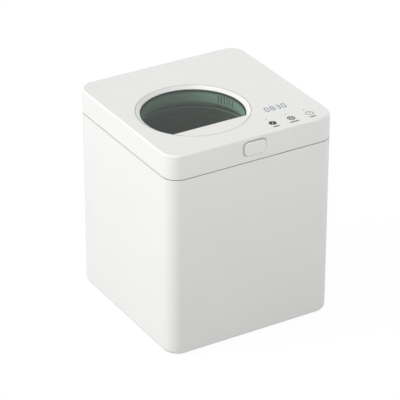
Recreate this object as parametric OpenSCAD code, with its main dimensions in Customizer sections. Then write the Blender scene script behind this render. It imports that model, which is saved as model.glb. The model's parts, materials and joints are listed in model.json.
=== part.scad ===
// Electric food waste composter: a nearly cubic countertop appliance with a hinged lid,
// a round window, a lift-out bucket with a driven stirrer, and a carbon filter tray at the back.
// Millimetres. The front faces -Y, the right side faces +X, and the origin is on the table
// under the middle of the appliance.

/* [Overall] */
// Width, left to right
body_w = 270; // [262:1:300]
// Depth, front to back
body_d = 270; // [266:1:300]
// Height from the table to the top of the lid
body_h = 320; // [300:1:360]
// Radius of the upright corners, seen from above
corner_r = 24.5; // [23:0.5:30]
// Wall of the moulded shells
wall = 2.5; // [2:0.1:3]
// Rounding of the housing's bottom edge
bottom_round = 8; // [6:0.5:9]
// Rounding of the lid's top edge
top_round = 2.4; // [1:0.1:2.5]
// Gap that shows as the line between lid and housing
seam_gap = 0.8; // [0.5:0.1:1.2]

/* [Base] */
// How far the rubber feet stand out below the housing
foot_drop = 1.5; // [1:0.1:3]
// Radius of a foot
foot_r = 9; // [7:0.5:11]
// Distance from the housing's sides to the middle of each foot
foot_inset = 37; // [35:1:45]
// Thickness of the base plate
plate_t = 3; // [2.5:0.1:4]
// Width of the housing's lip above the base plate
lip_w = 5; // [4:0.5:5.5]
// Slots in the base plate for cooling air
base_slots = 7; // [3:1:9]

/* [Lid] */
// Height of the lid
lid_h = 36.7; // [34:0.1:42]
// Thickness of the liner that closes the underside of the lid
liner_t = 2.5; // [2:0.1:3]
// Radius of the rounded rear edge, about the hinge pin
hinge_edge_r = 6; // [5.5:0.1:6.5]
// Radius of a hinge knuckle
knuckle_r = 5; // [4.5:0.1:5.2]
// Width of a hinge knuckle on the deck
knuckle_w = 12; // [8:0.5:16]
// Length of a hinge boss in the lid, at each side of a knuckle
boss_w = 8; // [6:0.5:10]
// Radius of the hinge pins
pin_r = 2; // [1.5:0.1:2.5]
// Distance from the middle to each hinge
hinge_reach = 85; // [70:1:88]

/* [Window] */
// Distance from the left side to the middle of the window, bucket and stirrer
axis_left = 103.5; // [102:0.5:107]
// Distance from the front to the middle of the window, bucket and stirrer
axis_front = 114.3; // [113:0.1:119]
// Outer radius of the window frame
frame_r = 81.4; // [80:0.1:83]
// Width of the slope between the frame's outer edge and the glass
bezel_w = 6.4; // [5.6:0.1:8]
// Depth of the glass below the top of the lid
sight_depth = 4.2; // [3.5:0.1:5]
// Distance from the window's middle to the straight edge at its front
chord_y = 52.1; // [46:0.1:60]
// Thickness of the glass
glass_t = 3; // [2.5:0.1:4]
// Width of the glass's edge that the frame and the collar hold
glass_lip = 1.5; // [1:0.1:2]
// Height of the collar under the glass
collar_h = 16; // [12:0.5:17]
// Air slots in the collar
vent_count = 6; // [3:1:8]

/* [Latch] */
// Width of the latch button
button_w = 35; // [28:0.5:38]
// Height of the latch button
button_h = 20; // [16:0.5:22]
// Corner radius of the latch button
button_r = 6; // [3:0.5:7]
// How far the button stands out of the lid
button_proud = 2.4; // [1.4:0.1:2.8]
// Rounding of the button's front edge
button_edge = 1.2; // [0.4:0.1:1.3]
// Middle of the button below the top of the lid
button_drop = 16.5; // [15.5:0.1:17]
// Gap round the button
button_gap = 0.4; // [0.3:0.1:0.6]

/* [Bucket] */
// Outer radius of the bucket
bucket_r = 80; // [76:0.5:80]
// Wall of the bucket
bucket_wall = 1.5; // [1.2:0.1:2]
// Inside rounding between the bucket's wall and floor
bucket_round = 10; // [6:0.5:14]
// Radius of the dome in the middle of the bucket's floor
dome_r = 21; // [20:0.5:24]
// Height of that dome
dome_h = 18; // [17:0.5:20]
// Distance from the housing's rim down to the bucket's rim
rim_drop = 11.7; // [11:0.1:14]
// Height of the two grips above the bucket's rim
grip_h = 8; // [6:0.5:10.5]
// Thickness of those grips
grip_t = 2; // [1.8:0.1:2.4]

/* [Heated well] */
// Gap between bucket and well
well_gap = 2.2; // [1.5:0.1:2.5]
// Wall of the well
well_wall = 1.5; // [1.2:0.1:1.8]
// Thickness of the insulating sleeve
sleeve_t = 3.6; // [2.5:0.1:4]
// Height of the heater band
band_h = 60; // [40:1:80]

/* [Stirrer] */
// Radius that the stirrer's arms reach
arm_reach = 74; // [66:0.5:74.5]
// Number of arms above the floor sweep
arm_count = 3; // [2:1:4]
// Rise from one arm to the next
arm_rise = 25; // [18:1:28]
// Radius of the stirrer's hub
hub_r = 13; // [12:0.5:15]

/* [Gear train] */
// Teeth of each small gear
small_teeth = 12; // [12:1:14]
// Teeth of each large gear
large_teeth = 40; // [38:1:41]
// Tooth size (module) of the motor stage
fast_module = 2.25; // [2.2:0.01:2.3]
// Tooth size (module) of the output stage
slow_module = 2.5; // [2.45:0.01:2.55]
// Face width of the motor stage
fast_face = 8; // [6:0.5:8.5]
// Face width of the output stage
slow_face = 10; // [8:0.5:11]
// Distance from the bucket's axis to the motor's axis
motor_reach = 121; // [119:0.5:121.5]
// Direction of the motor from the bucket's axis, turned from the right side to the back
motor_turn = -37; // [-42:1:-25]
// Radius of the motor
motor_r = 24; // [20:0.5:24]
// Height of the motor
motor_h = 66; // [50:1:80]

/* [Filter] */
// Inside width of the filter tray
tray_w = 80; // [70:1:84]
// Height of the filter tray
tray_h = 54; // [44:1:58]
// Depth of the filter tray
tray_d = 40; // [36:0.5:44]
// Height of the duct between the fan and the deck
duct_h = 24.5; // [16:0.5:30]
// Side of the square fan
fan_w = 40; // [34:1:40]
// Depth of the fan
fan_t = 15; // [12:0.5:18]
// Blades of the fan
fan_blades = 7; // [5:1:9]
// Exhaust slots in the tray's front
louvre_count = 7; // [4:1:7]

/* [Electrics] */
// Width of the mains inlet's flange
inlet_w = 30; // [28:0.5:34]
// Height of the mains inlet's flange
inlet_h = 22; // [21:0.5:26]
// Distance from the right side to the middle of the mains inlet
inlet_side = 47; // [42:1:60]
// How far the inlet's flange stands out of the rear wall
inlet_proud = 1.2; // [0.8:0.1:1.6]
// Height of the mains inlet above the table
inlet_z = 34; // [30:1:60]
// Spacing of the touch keys
key_pitch = 30.5; // [26:0.5:31]
// Thickness of the circuit boards
board_t = 1.6; // [1:0.1:2]

/* [Hidden] */
$fn = 64;
slack = 1;          // how far a cut reaches past the face it opens
fit = 0.02;         // clearance where one piece is pressed into another
run = 0.05;         // radial clearance of a shaft that turns in its bore
rest = 0.3;         // clearance between pieces that move apart
screw_r = 1.5;
white = [0.93, 0.93, 0.92];
pale = [0.84, 0.85, 0.84];
steel = [0.75, 0.76, 0.78];
dark = [0.16, 0.17, 0.18];
green = [0.1, 0.36, 0.22];

// Places in plan
axis_x = axis_left - body_w / 2;
axis_y = axis_front - body_d / 2;
foot_x = body_w / 2 - foot_inset;
foot_y = body_d / 2 - foot_inset;
sight_r = frame_r - bezel_w;
collar_r = sight_r - glass_lip;
glass_r = sight_r + glass_lip;

// Heights, from the table up
plate_top = foot_drop + plate_t;
lip_t = 1;
box_z = plate_top + 1.5;
box_floor = 2.5;
bearing_t = 5;
slow_z = box_z + box_floor + bearing_t + 1.5;
fast_z = slow_z + slow_face + 2;
cover_z = fast_z + fast_face + 3;
cover_t = 3;
cover_top = cover_z + cover_t;
well_z = cover_top + bearing_t + 12;
bucket_z = well_z + well_wall + 1.5;
rim_z = body_h - lid_h - seam_gap;
lid_z = body_h - lid_h;
deck_t = 3;
deck_z = rim_z - deck_t;
bucket_top = rim_z - rim_drop;
flange_t = 2.5;
shoulder_z = bucket_top - flange_t - rest;
liner_z = lid_z + 1.2;
glass_z = body_h - sight_depth;
seal_t = 1.2;
collar_top = glass_z - glass_t - seal_t;
ceiling_z = collar_top - collar_h;

// Radii about the bucket's axis
flange_r = bucket_r + 4;
mouth_r = flange_r + 1;
well_r = bucket_r + well_gap;
band_t = 1.5;
band_r = well_r + well_wall + run;
sleeve_r = band_r + band_t + run;
recess_r = mouth_r + 1;
gasket_r = recess_r + 2;
gasket_w = 4;
bulb_r = 1.2;
shaft_r = 4;
dog_r = 14;
dog_h = 4.4;
dog_z = bucket_z + 3;
bearing_r = 8;

// Hinge
hinge_y = body_d / 2 - hinge_edge_r;
hinge_z = lid_z + hinge_edge_r;

// Latch
latch_z = body_h - button_drop;
hook_arm = 8.5;
hook_z = latch_z - hook_arm;
hook_y = -body_d / 2 + 14;
hook_w = 14;
hook_t = 3.5;
nose_w = 3.5;
nose_top = rim_z - 2.3;
nose_h = 4;
hook_tip = hook_y + hook_t / 2 + nose_w;
hook_hub_r = 3.6;
hook_pin_r = 1.5;
stem_r = 3;
spring_reach = 8;
spring_r = 3;
pocket_w = hook_w + 4;
pocket_front = -body_d / 2 + 6.5;
pocket_back = hook_tip + 4;
pocket_floor = nose_top - nose_h - 5;
pocket_wall = 1.5;

// Gear train
pressure = 25;
backlash = 0.12;
fast_reach = fast_module * (small_teeth + large_teeth) / 2;
slow_reach = slow_module * (small_teeth + large_teeth) / 2;
motor_x = axis_x + motor_reach * cos(motor_turn);
motor_y = axis_y + motor_reach * sin(motor_turn);
idler_dx = (pow(motor_reach, 2) + pow(slow_reach, 2) - pow(fast_reach, 2)) / (2 * motor_reach);
idler_dy = sqrt(slow_reach * slow_reach - idler_dx * idler_dx);
idler_x = axis_x + idler_dx * cos(motor_turn) - idler_dy * sin(motor_turn);
idler_y = axis_y + idler_dx * sin(motor_turn) + idler_dy * cos(motor_turn);
slow_angle = motor_turn + atan2(idler_dy, idler_dx);
fast_angle = motor_turn + atan2(-idler_dy, motor_reach - idler_dx);
box_wall = 2.5;
box_room = 3;
idler_r = 3;
motor_shaft_r = 3;

// Filter, fan and duct, one over the other against the inside of the rear wall
rear_y = body_d / 2 - wall;
case_w = tray_w + 8;
case_h = tray_h + 8;
case_d = tray_d + 4;
case_wall = 2;
cover_w = case_w + 2;
cover_h = case_h + 2;
cover_side = 1.5;
case_x = body_w / 2 - corner_r - cover_side - cover_w / 2;
case_front = rear_y - case_d;
case_z = deck_z - duct_h - fan_t - case_wall - case_h;
fan_x = case_x;
fan_y = rear_y - case_d / 2;
fan_z = case_z + case_h + case_wall;
fan_hub_r = 9.5;
rotor_r = fan_w / 2 - 2;
port_w = 26;
port_y = fan_y - 4;
tray_wall = 1.6;
tray_z = case_z + (case_h - tray_h) / 2;
tray_front = case_front + 2;

// Electrics
inlet_x = body_w / 2 - inlet_side;
panel_right = body_w / 2;
panel_front = -body_d / 2;
key_x = panel_right - 61.1;
key_y = panel_front + 23;
key_r = 6;
display_x = axis_x + 103.4;
display_y = panel_front + 62;
display_w = 38;
display_d = 18;
pad_h = 4.6;
board_z = body_h - wall - rest - pad_h - board_t;
post_r = 2.5;
wire_board_w = 132;
wire_board_h = 96;
wire_board_x = body_w / 2 - wall - 8;
wire_board_y = 8;
wire_board_z = cover_top + motor_h + 13 + wire_board_h / 2;
wire_hole_in = 6;

// ---- shapes that repeat ----

// Rectangle with round corners, about the origin
module plan(w, d, r) {
    square([w - 2 * r, d], center = true);
    square([w, d - 2 * r], center = true);
    for (x = [-1, 1], y = [-1, 1])
        translate([x * (w / 2 - r), y * (d / 2 - r)])
            circle(r);
}

module slab(w, d, r, z, t) {
    translate([0, 0, z])
        linear_extrude(t)
            plan(w, d, r);
}

// Sweeps a flat profile round a rectangle with round corners. The profile's x is measured
// outwards from the middle of the corner's arc, and its y is the height.
module around(w, d, r) {
    for (q = [0 : 3]) {
        a = q % 2 == 0 ? w : d;
        b = q % 2 == 0 ? d : w;
        rotate([0, 0, 90 * q])
            translate([a / 2 - r, b / 2 - r, 0]) {
                rotate_extrude(angle = 90)
                    children();
                rotate([90, 0, 0])
                    linear_extrude(b - 2 * r)
                        children();
            }
    }
}

// Upright tube between two radii
module tube(r_out, r_in, z, h) {
    translate([0, 0, z])
        difference() {
            cylinder(r = r_out, h = h);
            translate([0, 0, -slack])
                cylinder(r = r_in, h = h + 2 * slack);
        }
}

module at_axis() {
    translate([axis_x, axis_y, 0])
        children();
}

// Rod along X, centred on a point in the Y-Z plane
module rod_x(r, length, y, z) {
    translate([-length / 2, y, z])
        rotate([0, 90, 0])
            cylinder(r = r, h = length);
}

module block(w, d, h, x, y, z) {
    translate([x - w / 2, y - d / 2, z])
        cube([w, d, h]);
}

// Involute gear. ra, rb and rf are its tip, base and root radii, and half() is half a tooth's
// angle at radius r.
function turn_at(r, rb) = sqrt(max(0, r * r / (rb * rb) - 1));
function involute(r, rb) = turn_at(r, rb) * 180 / PI - atan(turn_at(r, rb));
function half(r, m, teeth) =
    90 / teeth - backlash / (m * teeth) * 180 / PI
    + involute(m * teeth / 2, m * teeth / 2 * cos(pressure)) - involute(r, m * teeth / 2 * cos(pressure));
function polar(r, a) = [r * cos(a), r * sin(a)];

module gear_outline(m, teeth) {
    ra = m * teeth / 2 + m;
    rb = m * teeth / 2 * cos(pressure);
    rf = m * teeth / 2 - 1.25 * m;
    start = max(rb, rf);
    steps = 3;
    flank = [for (k = [0 : steps]) start + (ra - start) * k / steps];
    polygon([for (i = [0 : teeth - 1])
        let (a = 360 / teeth * i)
        each concat(
            rb > rf ? [polar(rf, a - half(start, m, teeth))] : [],
            [for (k = [0 : steps]) polar(flank[k], a - half(flank[k], m, teeth))],
            [for (k = [steps : -1 : 0]) polar(flank[k], a + half(flank[k], m, teeth))],
            rb > rf ? [polar(rf, a + half(start, m, teeth))] : []
        )]);
}

// ---- housing ----

module housing_profile() {
    low = foot_drop;
    translate([corner_r - wall, low + bottom_round])
        square([wall, rim_z - low - bottom_round]);
    translate([corner_r - bottom_round, low + bottom_round])
        intersection() {
            difference() {
                circle(bottom_round);
                circle(bottom_round - wall);
            }
            translate([0, -bottom_round])
                square(bottom_round);
        }
    difference() {
        translate([lip_in, low])
            square([corner_r - bottom_round - lip_in, plate_t + lip_t]);
        translate([lip_in - slack, low - slack])
            square([lip_w + slack, plate_t + slack]);
    }
    translate([corner_r - wall - 4, deck_z - 3])
        square([4 + slack / 2, 3]);
}

lip_in = 0.5;
plate_w = body_w - 2 * corner_r + 2 * (lip_in + lip_w);
plate_d = body_d - 2 * corner_r + 2 * (lip_in + lip_w);
plate_r = lip_in + lip_w;
screw_x = plate_w / 2 - lip_w / 2;
screw_y = plate_d / 2 - 46;
slot_y = plate_d / 2 - 61;
slot_pitch = 7;

module outer_housing() {
    color(white)
        difference() {
            union() {
                around(body_w, body_d, corner_r)
                    housing_profile();
                for (x = [-1, 1], y = [-1, 1])
                    tube_boss(x * screw_x, y * screw_y);
                for (y = [-1, 1], z = [-1, 1])
                    translate([wire_board_x + board_t, wire_board_y + y * (wire_board_w / 2 - wire_hole_in),
                            wire_board_z + z * (wire_board_h / 2 - wire_hole_in)])
                        rotate([0, 90, 0])
                            cylinder(r = 3, h = body_w / 2 - wall - wire_board_x);
            }
            block(pocket_w + 2 * pocket_wall + 1, 12, 8, 0, -body_d / 2 + wall + 6, deck_z - 5);
            translate([case_x, rear_y - slack, case_z + case_h / 2])
                rotate([-90, 0, 0])
                    linear_extrude(wall + 2 * slack)
                        plan(cover_w + 2 * rest, cover_h + 2 * rest, 4);
            translate([inlet_x, rear_y - slack, inlet_z])
                rotate([-90, 0, 0])
                    linear_extrude(wall + 2 * slack)
                        plan(inlet_w - 3, inlet_h - 3, 2);
            for (x = [-1, 1], y = [-1, 1])
                translate([x * screw_x, y * screw_y, 0])
                    cylinder(r = screw_r + fit, h = plate_top + 7);
        }
}

module tube_boss(x, y) {
    translate([x, y, plate_top])
        cylinder(r = 4, h = 9);
}

module base_plate() {
    color(pale)
        difference() {
            union() {
                slab(plate_w - 2 * rest, plate_d - 2 * rest, plate_r - rest, foot_drop, plate_t);
                for (p = box_posts())
                    translate([p[0], p[1], plate_top])
                        cylinder(r = 5, h = box_z - plate_top);
            }
            for (x = [-1, 1], y = [-1, 1]) {
                translate([x * foot_x, y * foot_y, foot_drop - slack])
                    cylinder(r = foot_r + fit, h = plate_t / 2 + slack);
                translate([x * screw_x, y * screw_y, 0])
                    cylinder(r = screw_r + 0.2, h = plate_top + slack);
                translate([x * screw_x, y * screw_y, 0])
                    cylinder(r = 2.4, h = foot_drop + 1.3);
            }
            for (i = [0 : base_slots - 1])
                block(40, 3.4, plate_t + 2 * slack, 0, slot_y + slot_pitch * i, foot_drop - slack);
        }
}

function box_posts() = [
    [axis_x - 40, axis_y], [axis_x, axis_y + 40], [axis_x, axis_y - 40],
    [idler_x, idler_y + 34], [idler_x, idler_y - 34], [motor_x, motor_y]
];

module rubber_feet() {
    color(dark)
        for (x = [-1, 1], y = [-1, 1])
            translate([x * foot_x, y * foot_y, 0])
                cylinder(r = foot_r, h = foot_drop + plate_t / 2);
}

module base_screws() {
    color(steel)
        for (x = [-1, 1], y = [-1, 1])
            translate([x * screw_x, y * screw_y, foot_drop + 0.1]) {
                cylinder(r = 2.2, h = 1.2);
                cylinder(r = screw_r, h = plate_t + 5);
            }
}

module top_deck() {
    deck_w = body_w - 2 * wall - 2 * rest;
    deck_d = body_d - 2 * wall - 2 * rest;
    color(white)
        difference() {
            union() {
                slab(deck_w, deck_d, corner_r - wall - rest, deck_z, deck_t);
                block(pocket_w + 2 * pocket_wall, pocket_back - pocket_front + 2 * pocket_wall,
                    deck_z - pocket_floor + pocket_wall + slack, 0, (pocket_back + pocket_front) / 2,
                    pocket_floor - pocket_wall);
                for (x = [-1, 1])
                    translate([x * hinge_reach, 0, 0])
                        knuckle();
            }
            at_axis()
                translate([0, 0, deck_z - slack])
                    cylinder(r = mouth_r, h = deck_t + 2 * slack);
            block(pocket_w, pocket_back - pocket_front, rim_z - pocket_floor + slack, 0,
                (pocket_back + pocket_front) / 2, pocket_floor);
            block(port_w, port_w, deck_t + 2 * slack, fan_x, port_y, deck_z - slack);
            for (x = [-1, 1])
                translate([x * hinge_reach, 0, 0])
                    rod_x(pin_r + run, knuckle_w + 2 * slack, hinge_y, hinge_z);
        }
}

module knuckle() {
    rod_x(knuckle_r, knuckle_w, hinge_y, hinge_z);
    neck = min(knuckle_r, body_d / 2 - wall - rest - hinge_y);
    translate([-knuckle_w / 2, hinge_y - knuckle_r, rim_z - 1])
        cube([knuckle_w, knuckle_r + neck, hinge_z - rim_z + 1]);
}

module latch_keeper() {
    keeper_t = 1.4;
    back = pocket_back - fit;
    color(steel)
        difference() {
            union() {
                block(pocket_w - 1, keeper_t, rim_z - pocket_floor - 1, 0, back - keeper_t / 2,
                    pocket_floor + 0.6);
                block(pocket_w - 1, back - hook_tip - rest, keeper_t, 0, (back + hook_tip + rest) / 2,
                    rim_z - 0.4 - keeper_t);
            }
            translate([0, back + slack, pocket_floor + 4])
                rotate([90, 0, 0])
                    cylinder(r = 1, h = keeper_t + 2 * slack);
        }
}

module heating_well() {
    color(steel)
        at_axis()
            rotate_extrude()
                difference() {
                    union() {
                        translate([0, well_z])
                            square([well_r + well_wall, shoulder_z - well_z]);
                        translate([0, shoulder_z - well_wall])
                            square([mouth_r + well_wall, deck_z - shoulder_z + well_wall]);
                        translate([0, deck_z - well_wall])
                            square([mouth_r + 6, well_wall]);
                    }
                    translate([-slack, well_z + well_wall])
                        square([well_r + slack, rim_z]);
                    translate([-slack, shoulder_z])
                        square([mouth_r + slack, rim_z]);
                    translate([-slack, well_z - slack])
                        square([10 + slack, well_wall + 2 * slack]);
                }
}

module heater_band() {
    color([0.62, 0.6, 0.55])
        at_axis() {
            difference() {
                tube(band_r + band_t, band_r, well_z + 12, band_h);
                block(8, 12, band_h + 2 * slack, 0, -band_r, well_z + 12 - slack);
            }
            for (x = [-1, 1])
                block(1.4, 2.4, band_h, x * 4.7, -band_r - 1.1, well_z + 12);
        }
}

module insulation_sleeve() {
    color([0.9, 0.86, 0.74])
        at_axis()
            difference() {
                tube(sleeve_r + sleeve_t, sleeve_r, well_z + 8, shoulder_z - well_wall - well_z - 10);
                block(16, 20, band_h + 8, 0, -sleeve_r, well_z + 8 - slack);
            }
}

module temperature_sensor() {
    color(steel)
        at_axis()
            translate([well_r - 16, 0, well_z - 4])
                difference() {
                    union() {
                        cylinder(r = 5, h = 4 - fit);
                        translate([0, 0, -6])
                            cylinder(r = 3.2, h = 6);
                    }
                    translate([0, 0, -6 - slack])
                        cylinder(r = 1.4, h = 4);
                }
}

module shaft_seal() {
    color(dark)
        at_axis()
            difference() {
                union() {
                    translate([0, 0, well_z - 3])
                        cylinder(r = 10 - fit, h = 4.5 + well_wall);
                    translate([0, 0, well_z + well_wall + fit])
                        cylinder(r = 12.5, h = 1.2);
                }
                translate([0, 0, well_z - 3 - slack])
                    cylinder(r = shaft_r + run, h = 10);
            }
}

// ---- drive ----

module box_outline(inset) {
    translate([axis_x, axis_y])
        circle(slow_module * (large_teeth / 2 + 1) + box_room + box_wall - inset);
    translate([idler_x, idler_y])
        circle(fast_module * (large_teeth / 2 + 1) + box_room + box_wall - inset);
    translate([motor_x, motor_y])
        circle(fast_module * (small_teeth / 2 + 1) + box_room + box_wall - inset);
}

module gearbox_housing() {
    color([0.55, 0.57, 0.58])
        difference() {
            union() {
                difference() {
                    translate([0, 0, box_z])
                        linear_extrude(cover_z - box_z)
                            box_outline(0);
                    translate([0, 0, box_z + box_floor])
                        linear_extrude(cover_z)
                            box_outline(box_wall);
                }
                at_axis()
                    translate([0, 0, box_z])
                        cylinder(r = bearing_r + 2.5, h = box_floor + bearing_t);
                translate([idler_x, idler_y, box_z])
                    cylinder(r = idler_r + 3, h = slow_z - box_z - rest);
            }
            at_axis()
                translate([0, 0, box_z + box_floor])
                    cylinder(r = bearing_r + fit, h = bearing_t + slack);
            translate([idler_x, idler_y, box_z + 1])
                cylinder(r = idler_r + fit, h = slow_z);
        }
}

module gearbox_cover() {
    color([0.6, 0.62, 0.63])
        difference() {
            union() {
                translate([0, 0, cover_z])
                    linear_extrude(cover_t)
                        box_outline(0);
                at_axis()
                    translate([0, 0, cover_z])
                        cylinder(r = bearing_r + 2.5, h = cover_t + bearing_t);
            }
            at_axis() {
                translate([0, 0, cover_z - slack])
                    cylinder(r = shaft_r + 1, h = cover_t + bearing_t);
                translate([0, 0, cover_top])
                    cylinder(r = bearing_r + fit, h = bearing_t + slack);
            }
            translate([idler_x, idler_y, cover_z - slack])
                cylinder(r = idler_r + fit, h = 2.5);
            translate([motor_x, motor_y, cover_z - slack])
                cylinder(r = 7 + fit, h = cover_t + 2 * slack);
        }
}

module drive_bearings() {
    color(steel)
        at_axis()
            for (z = [box_z + box_floor, cover_top])
                tube(bearing_r, shaft_r + run, z + fit, bearing_t);
}

module output_gear() {
    rim_r = slow_module * (large_teeth / 2 - 1.25) - 4;
    color([0.92, 0.9, 0.84])
        at_axis()
            difference() {
                union() {
                    translate([0, 0, slow_z])
                        rotate([0, 0, slow_angle])
                            linear_extrude(slow_face)
                                difference() {
                                    gear_outline(slow_module, large_teeth);
                                    circle(rim_r);
                                }
                    translate([0, 0, slow_z + slow_face / 2 - 1.5])
                        cylinder(r = rim_r + 1, h = 3);
                    translate([0, 0, slow_z])
                        cylinder(r = 11, h = slow_face);
                }
                translate([0, 0, slow_z - slack])
                    cylinder(r = shaft_r + fit, h = slow_face + 2 * slack);
                for (i = [0 : 5])
                    rotate([0, 0, 60 * i + 30])
                        translate([(rim_r + 11) / 2, 0, slow_z - slack])
                            cylinder(r = 8, h = slow_face + 2 * slack);
            }
}

module drive_shaft() {
    color(steel)
        at_axis()
            translate([0, 0, box_z + box_floor + rest])
                cylinder(r = shaft_r, h = dog_z + 1.5 - box_z - box_floor - rest);
}

// Three upright lugs that the socket under the stirrer drops over
module drive_dog() {
    color([0.3, 0.31, 0.33])
        at_axis()
            difference() {
                union() {
                    translate([0, 0, dog_z - 2.6])
                        cylinder(r = 8, h = 2.6 + dog_h);
                    for (i = [0 : 2])
                        rotate([0, 0, 120 * i])
                            translate([0, -2.5, dog_z])
                                cube([dog_r - 1, 5, dog_h]);
                }
                translate([0, 0, dog_z - 3])
                    cylinder(r = shaft_r + fit, h = 4.5 + fit);
            }
}

module idler_gear() {
    color([0.92, 0.9, 0.84])
        translate([idler_x, idler_y, 0])
            difference() {
                union() {
                    translate([0, 0, slow_z])
                        rotate([0, 0, slow_angle + 180 + 180 / small_teeth])
                            linear_extrude(slow_face)
                                gear_outline(slow_module, small_teeth);
                    translate([0, 0, slow_z])
                        cylinder(r = slow_module * (small_teeth / 2 - 1.25), h = fast_z - slow_z + 1);
                    translate([0, 0, fast_z])
                        rotate([0, 0, fast_angle])
                            linear_extrude(fast_face)
                                gear_outline(fast_module, large_teeth);
                }
                translate([0, 0, slow_z - slack])
                    cylinder(r = idler_r + run, h = 40);
                for (i = [0 : 4])
                    rotate([0, 0, 72 * i])
                        translate([27, 0, fast_z - slack])
                            cylinder(r = 8, h = fast_face + 2 * slack);
            }
}

module idler_axle() {
    color(steel)
        translate([idler_x, idler_y, box_z + 1 + fit])
            cylinder(r = idler_r, h = cover_z + 1.5 - fit - box_z - 1);
}

module motor_pinion() {
    color(steel)
        translate([motor_x, motor_y, 0]) {
            translate([0, 0, fast_z])
                rotate([0, 0, fast_angle + 180 + 180 / small_teeth])
                    linear_extrude(fast_face)
                        gear_outline(fast_module, small_teeth);
            translate([0, 0, fast_z])
                cylinder(r = motor_shaft_r, h = 34);
        }
}

module drive_motor() {
    color([0.35, 0.36, 0.38])
        translate([motor_x, motor_y, 0])
            difference() {
                union() {
                    translate([0, 0, cover_top])
                        cylinder(r = motor_r, h = motor_h);
                    translate([0, 0, cover_z + 1])
                        cylinder(r = 7, h = 3);
                    translate([0, 0, cover_top + motor_h - slack])
                        cylinder(r = 9, h = 4 + slack);
                }
                translate([0, 0, cover_z])
                    cylinder(r = motor_shaft_r + run, h = fast_z + 35 - cover_z);
                for (z = [18, motor_h - 8])
                    tube(motor_r + slack, motor_r - 0.8, cover_top + z, 1.6);
            }
}

// ---- air path ----

module filter_case() {
    box_w = case_w + 2 * case_wall;
    color(pale)
        difference() {
            translate([case_x - box_w / 2, case_front - case_wall, case_z - case_wall])
                cube([box_w, case_d + case_wall, case_h + 2 * case_wall]);
            translate([case_x - case_w / 2, case_front, case_z])
                cube([case_w, case_d + slack, case_h]);
            translate([fan_x, fan_y, case_z + case_h - slack])
                cylinder(r = rotor_r + 1, h = case_wall + 2 * slack);
        }
}

module fan_frame() {
    hub_t = 3;
    spoke_z = fan_z + fan_t - hub_t;
    hole_at = fan_w / 2 - 4;
    color(dark)
        translate([fan_x, fan_y, 0]) {
            difference() {
                slab(fan_w, fan_w, 3.5, fan_z, fan_t);
                translate([0, 0, fan_z - slack])
                    cylinder(r = rotor_r + 0.8, h = fan_t + 2 * slack);
                for (x = [-1, 1], y = [-1, 1])
                    translate([x * hole_at, y * hole_at, fan_z - slack])
                        cylinder(r = 1.7, h = fan_t + 2 * slack);
            }
            difference() {
                union() {
                    translate([0, 0, spoke_z])
                        cylinder(r = fan_hub_r - 0.5, h = hub_t);
                    for (i = [0 : 3])
                        rotate([0, 0, 90 * i + 20])
                            translate([fan_hub_r - 2, -1.5, spoke_z])
                                cube([rotor_r - fan_hub_r + 3.4, 3, hub_t]);
                }
                translate([0, 0, spoke_z - slack])
                    cylinder(r = 1.5 + run, h = hub_t);
            }
        }
}

module fan_rotor() {
    hub_low = 0.7;
    rotor_h = fan_t - 3 - 2 * rest - hub_low;
    color([0.22, 0.23, 0.25])
        translate([fan_x, fan_y, fan_z + hub_low]) {
            cylinder(r = fan_hub_r, h = rotor_h);
            cylinder(r = 1.5, h = rotor_h + rest + 1.8);
            intersection() {
                cylinder(r = rotor_r, h = rotor_h);
                for (i = [0 : fan_blades - 1])
                    rotate([0, 0, 360 / fan_blades * i])
                        translate([fan_hub_r - 1, 0, rotor_h / 2])
                            rotate([40, 0, 0])
                                translate([0, -6, -0.6])
                                    cube([rotor_r, 12, 1.2]);
            }
        }
}

module exhaust_duct() {
    duct_z = fan_z + fan_t;
    color(pale)
        difference() {
            union() {
                translate([fan_x, fan_y, 0])
                    slab(fan_w, fan_w, 3.5, duct_z, 2);
                block(port_w + 4, port_w + 4, deck_z - duct_z, fan_x, port_y, duct_z);
            }
            block(port_w, port_w, deck_z - duct_z + 2 * slack, fan_x, port_y, duct_z - slack);
        }
}

module filter_tray() {
    inner = tray_w - 2 * tray_wall;
    slots = 7;
    pitch = (tray_w - 8) / slots;
    slot_w = 6;
    louvre_w = tray_w - 20;
    grip_w = 28;
    grip_r = 6;
    color(pale)
        difference() {
            union() {
                translate([case_x - tray_w / 2, tray_front, tray_z])
                    cube([tray_w, rear_y - tray_front + 1, tray_h]);
                translate([case_x, rear_y, case_z + case_h / 2])
                    rotate([-90, 0, 0])
                        linear_extrude(wall)
                            plan(cover_w, cover_h, 4 - rest);
            }
            translate([case_x - inner / 2, tray_front + tray_wall, tray_z + tray_wall])
                cube([inner, rear_y - tray_front - tray_wall - 1, tray_h]);
            for (i = [0 : louvre_count - 1])
                translate([case_x - louvre_w / 2, rear_y - 2, tray_z + 6 + 6 * i])
                    cube([louvre_w, wall + 4, 2.6]);
            for (i = [0 : slots - 1])
                translate([case_x - tray_w / 2 + 4 + pitch * (i + 0.5) - slot_w / 2, tray_front - slack,
                        tray_z + 8])
                    cube([slot_w, tray_wall + 2 * slack, tray_h - 16]);
            translate([case_x - grip_w / 2, rear_y + wall + grip_r - 1.6, case_z + case_h - 3])
                rotate([0, 90, 0])
                    cylinder(r = grip_r, h = grip_w);
        }
}

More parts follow.
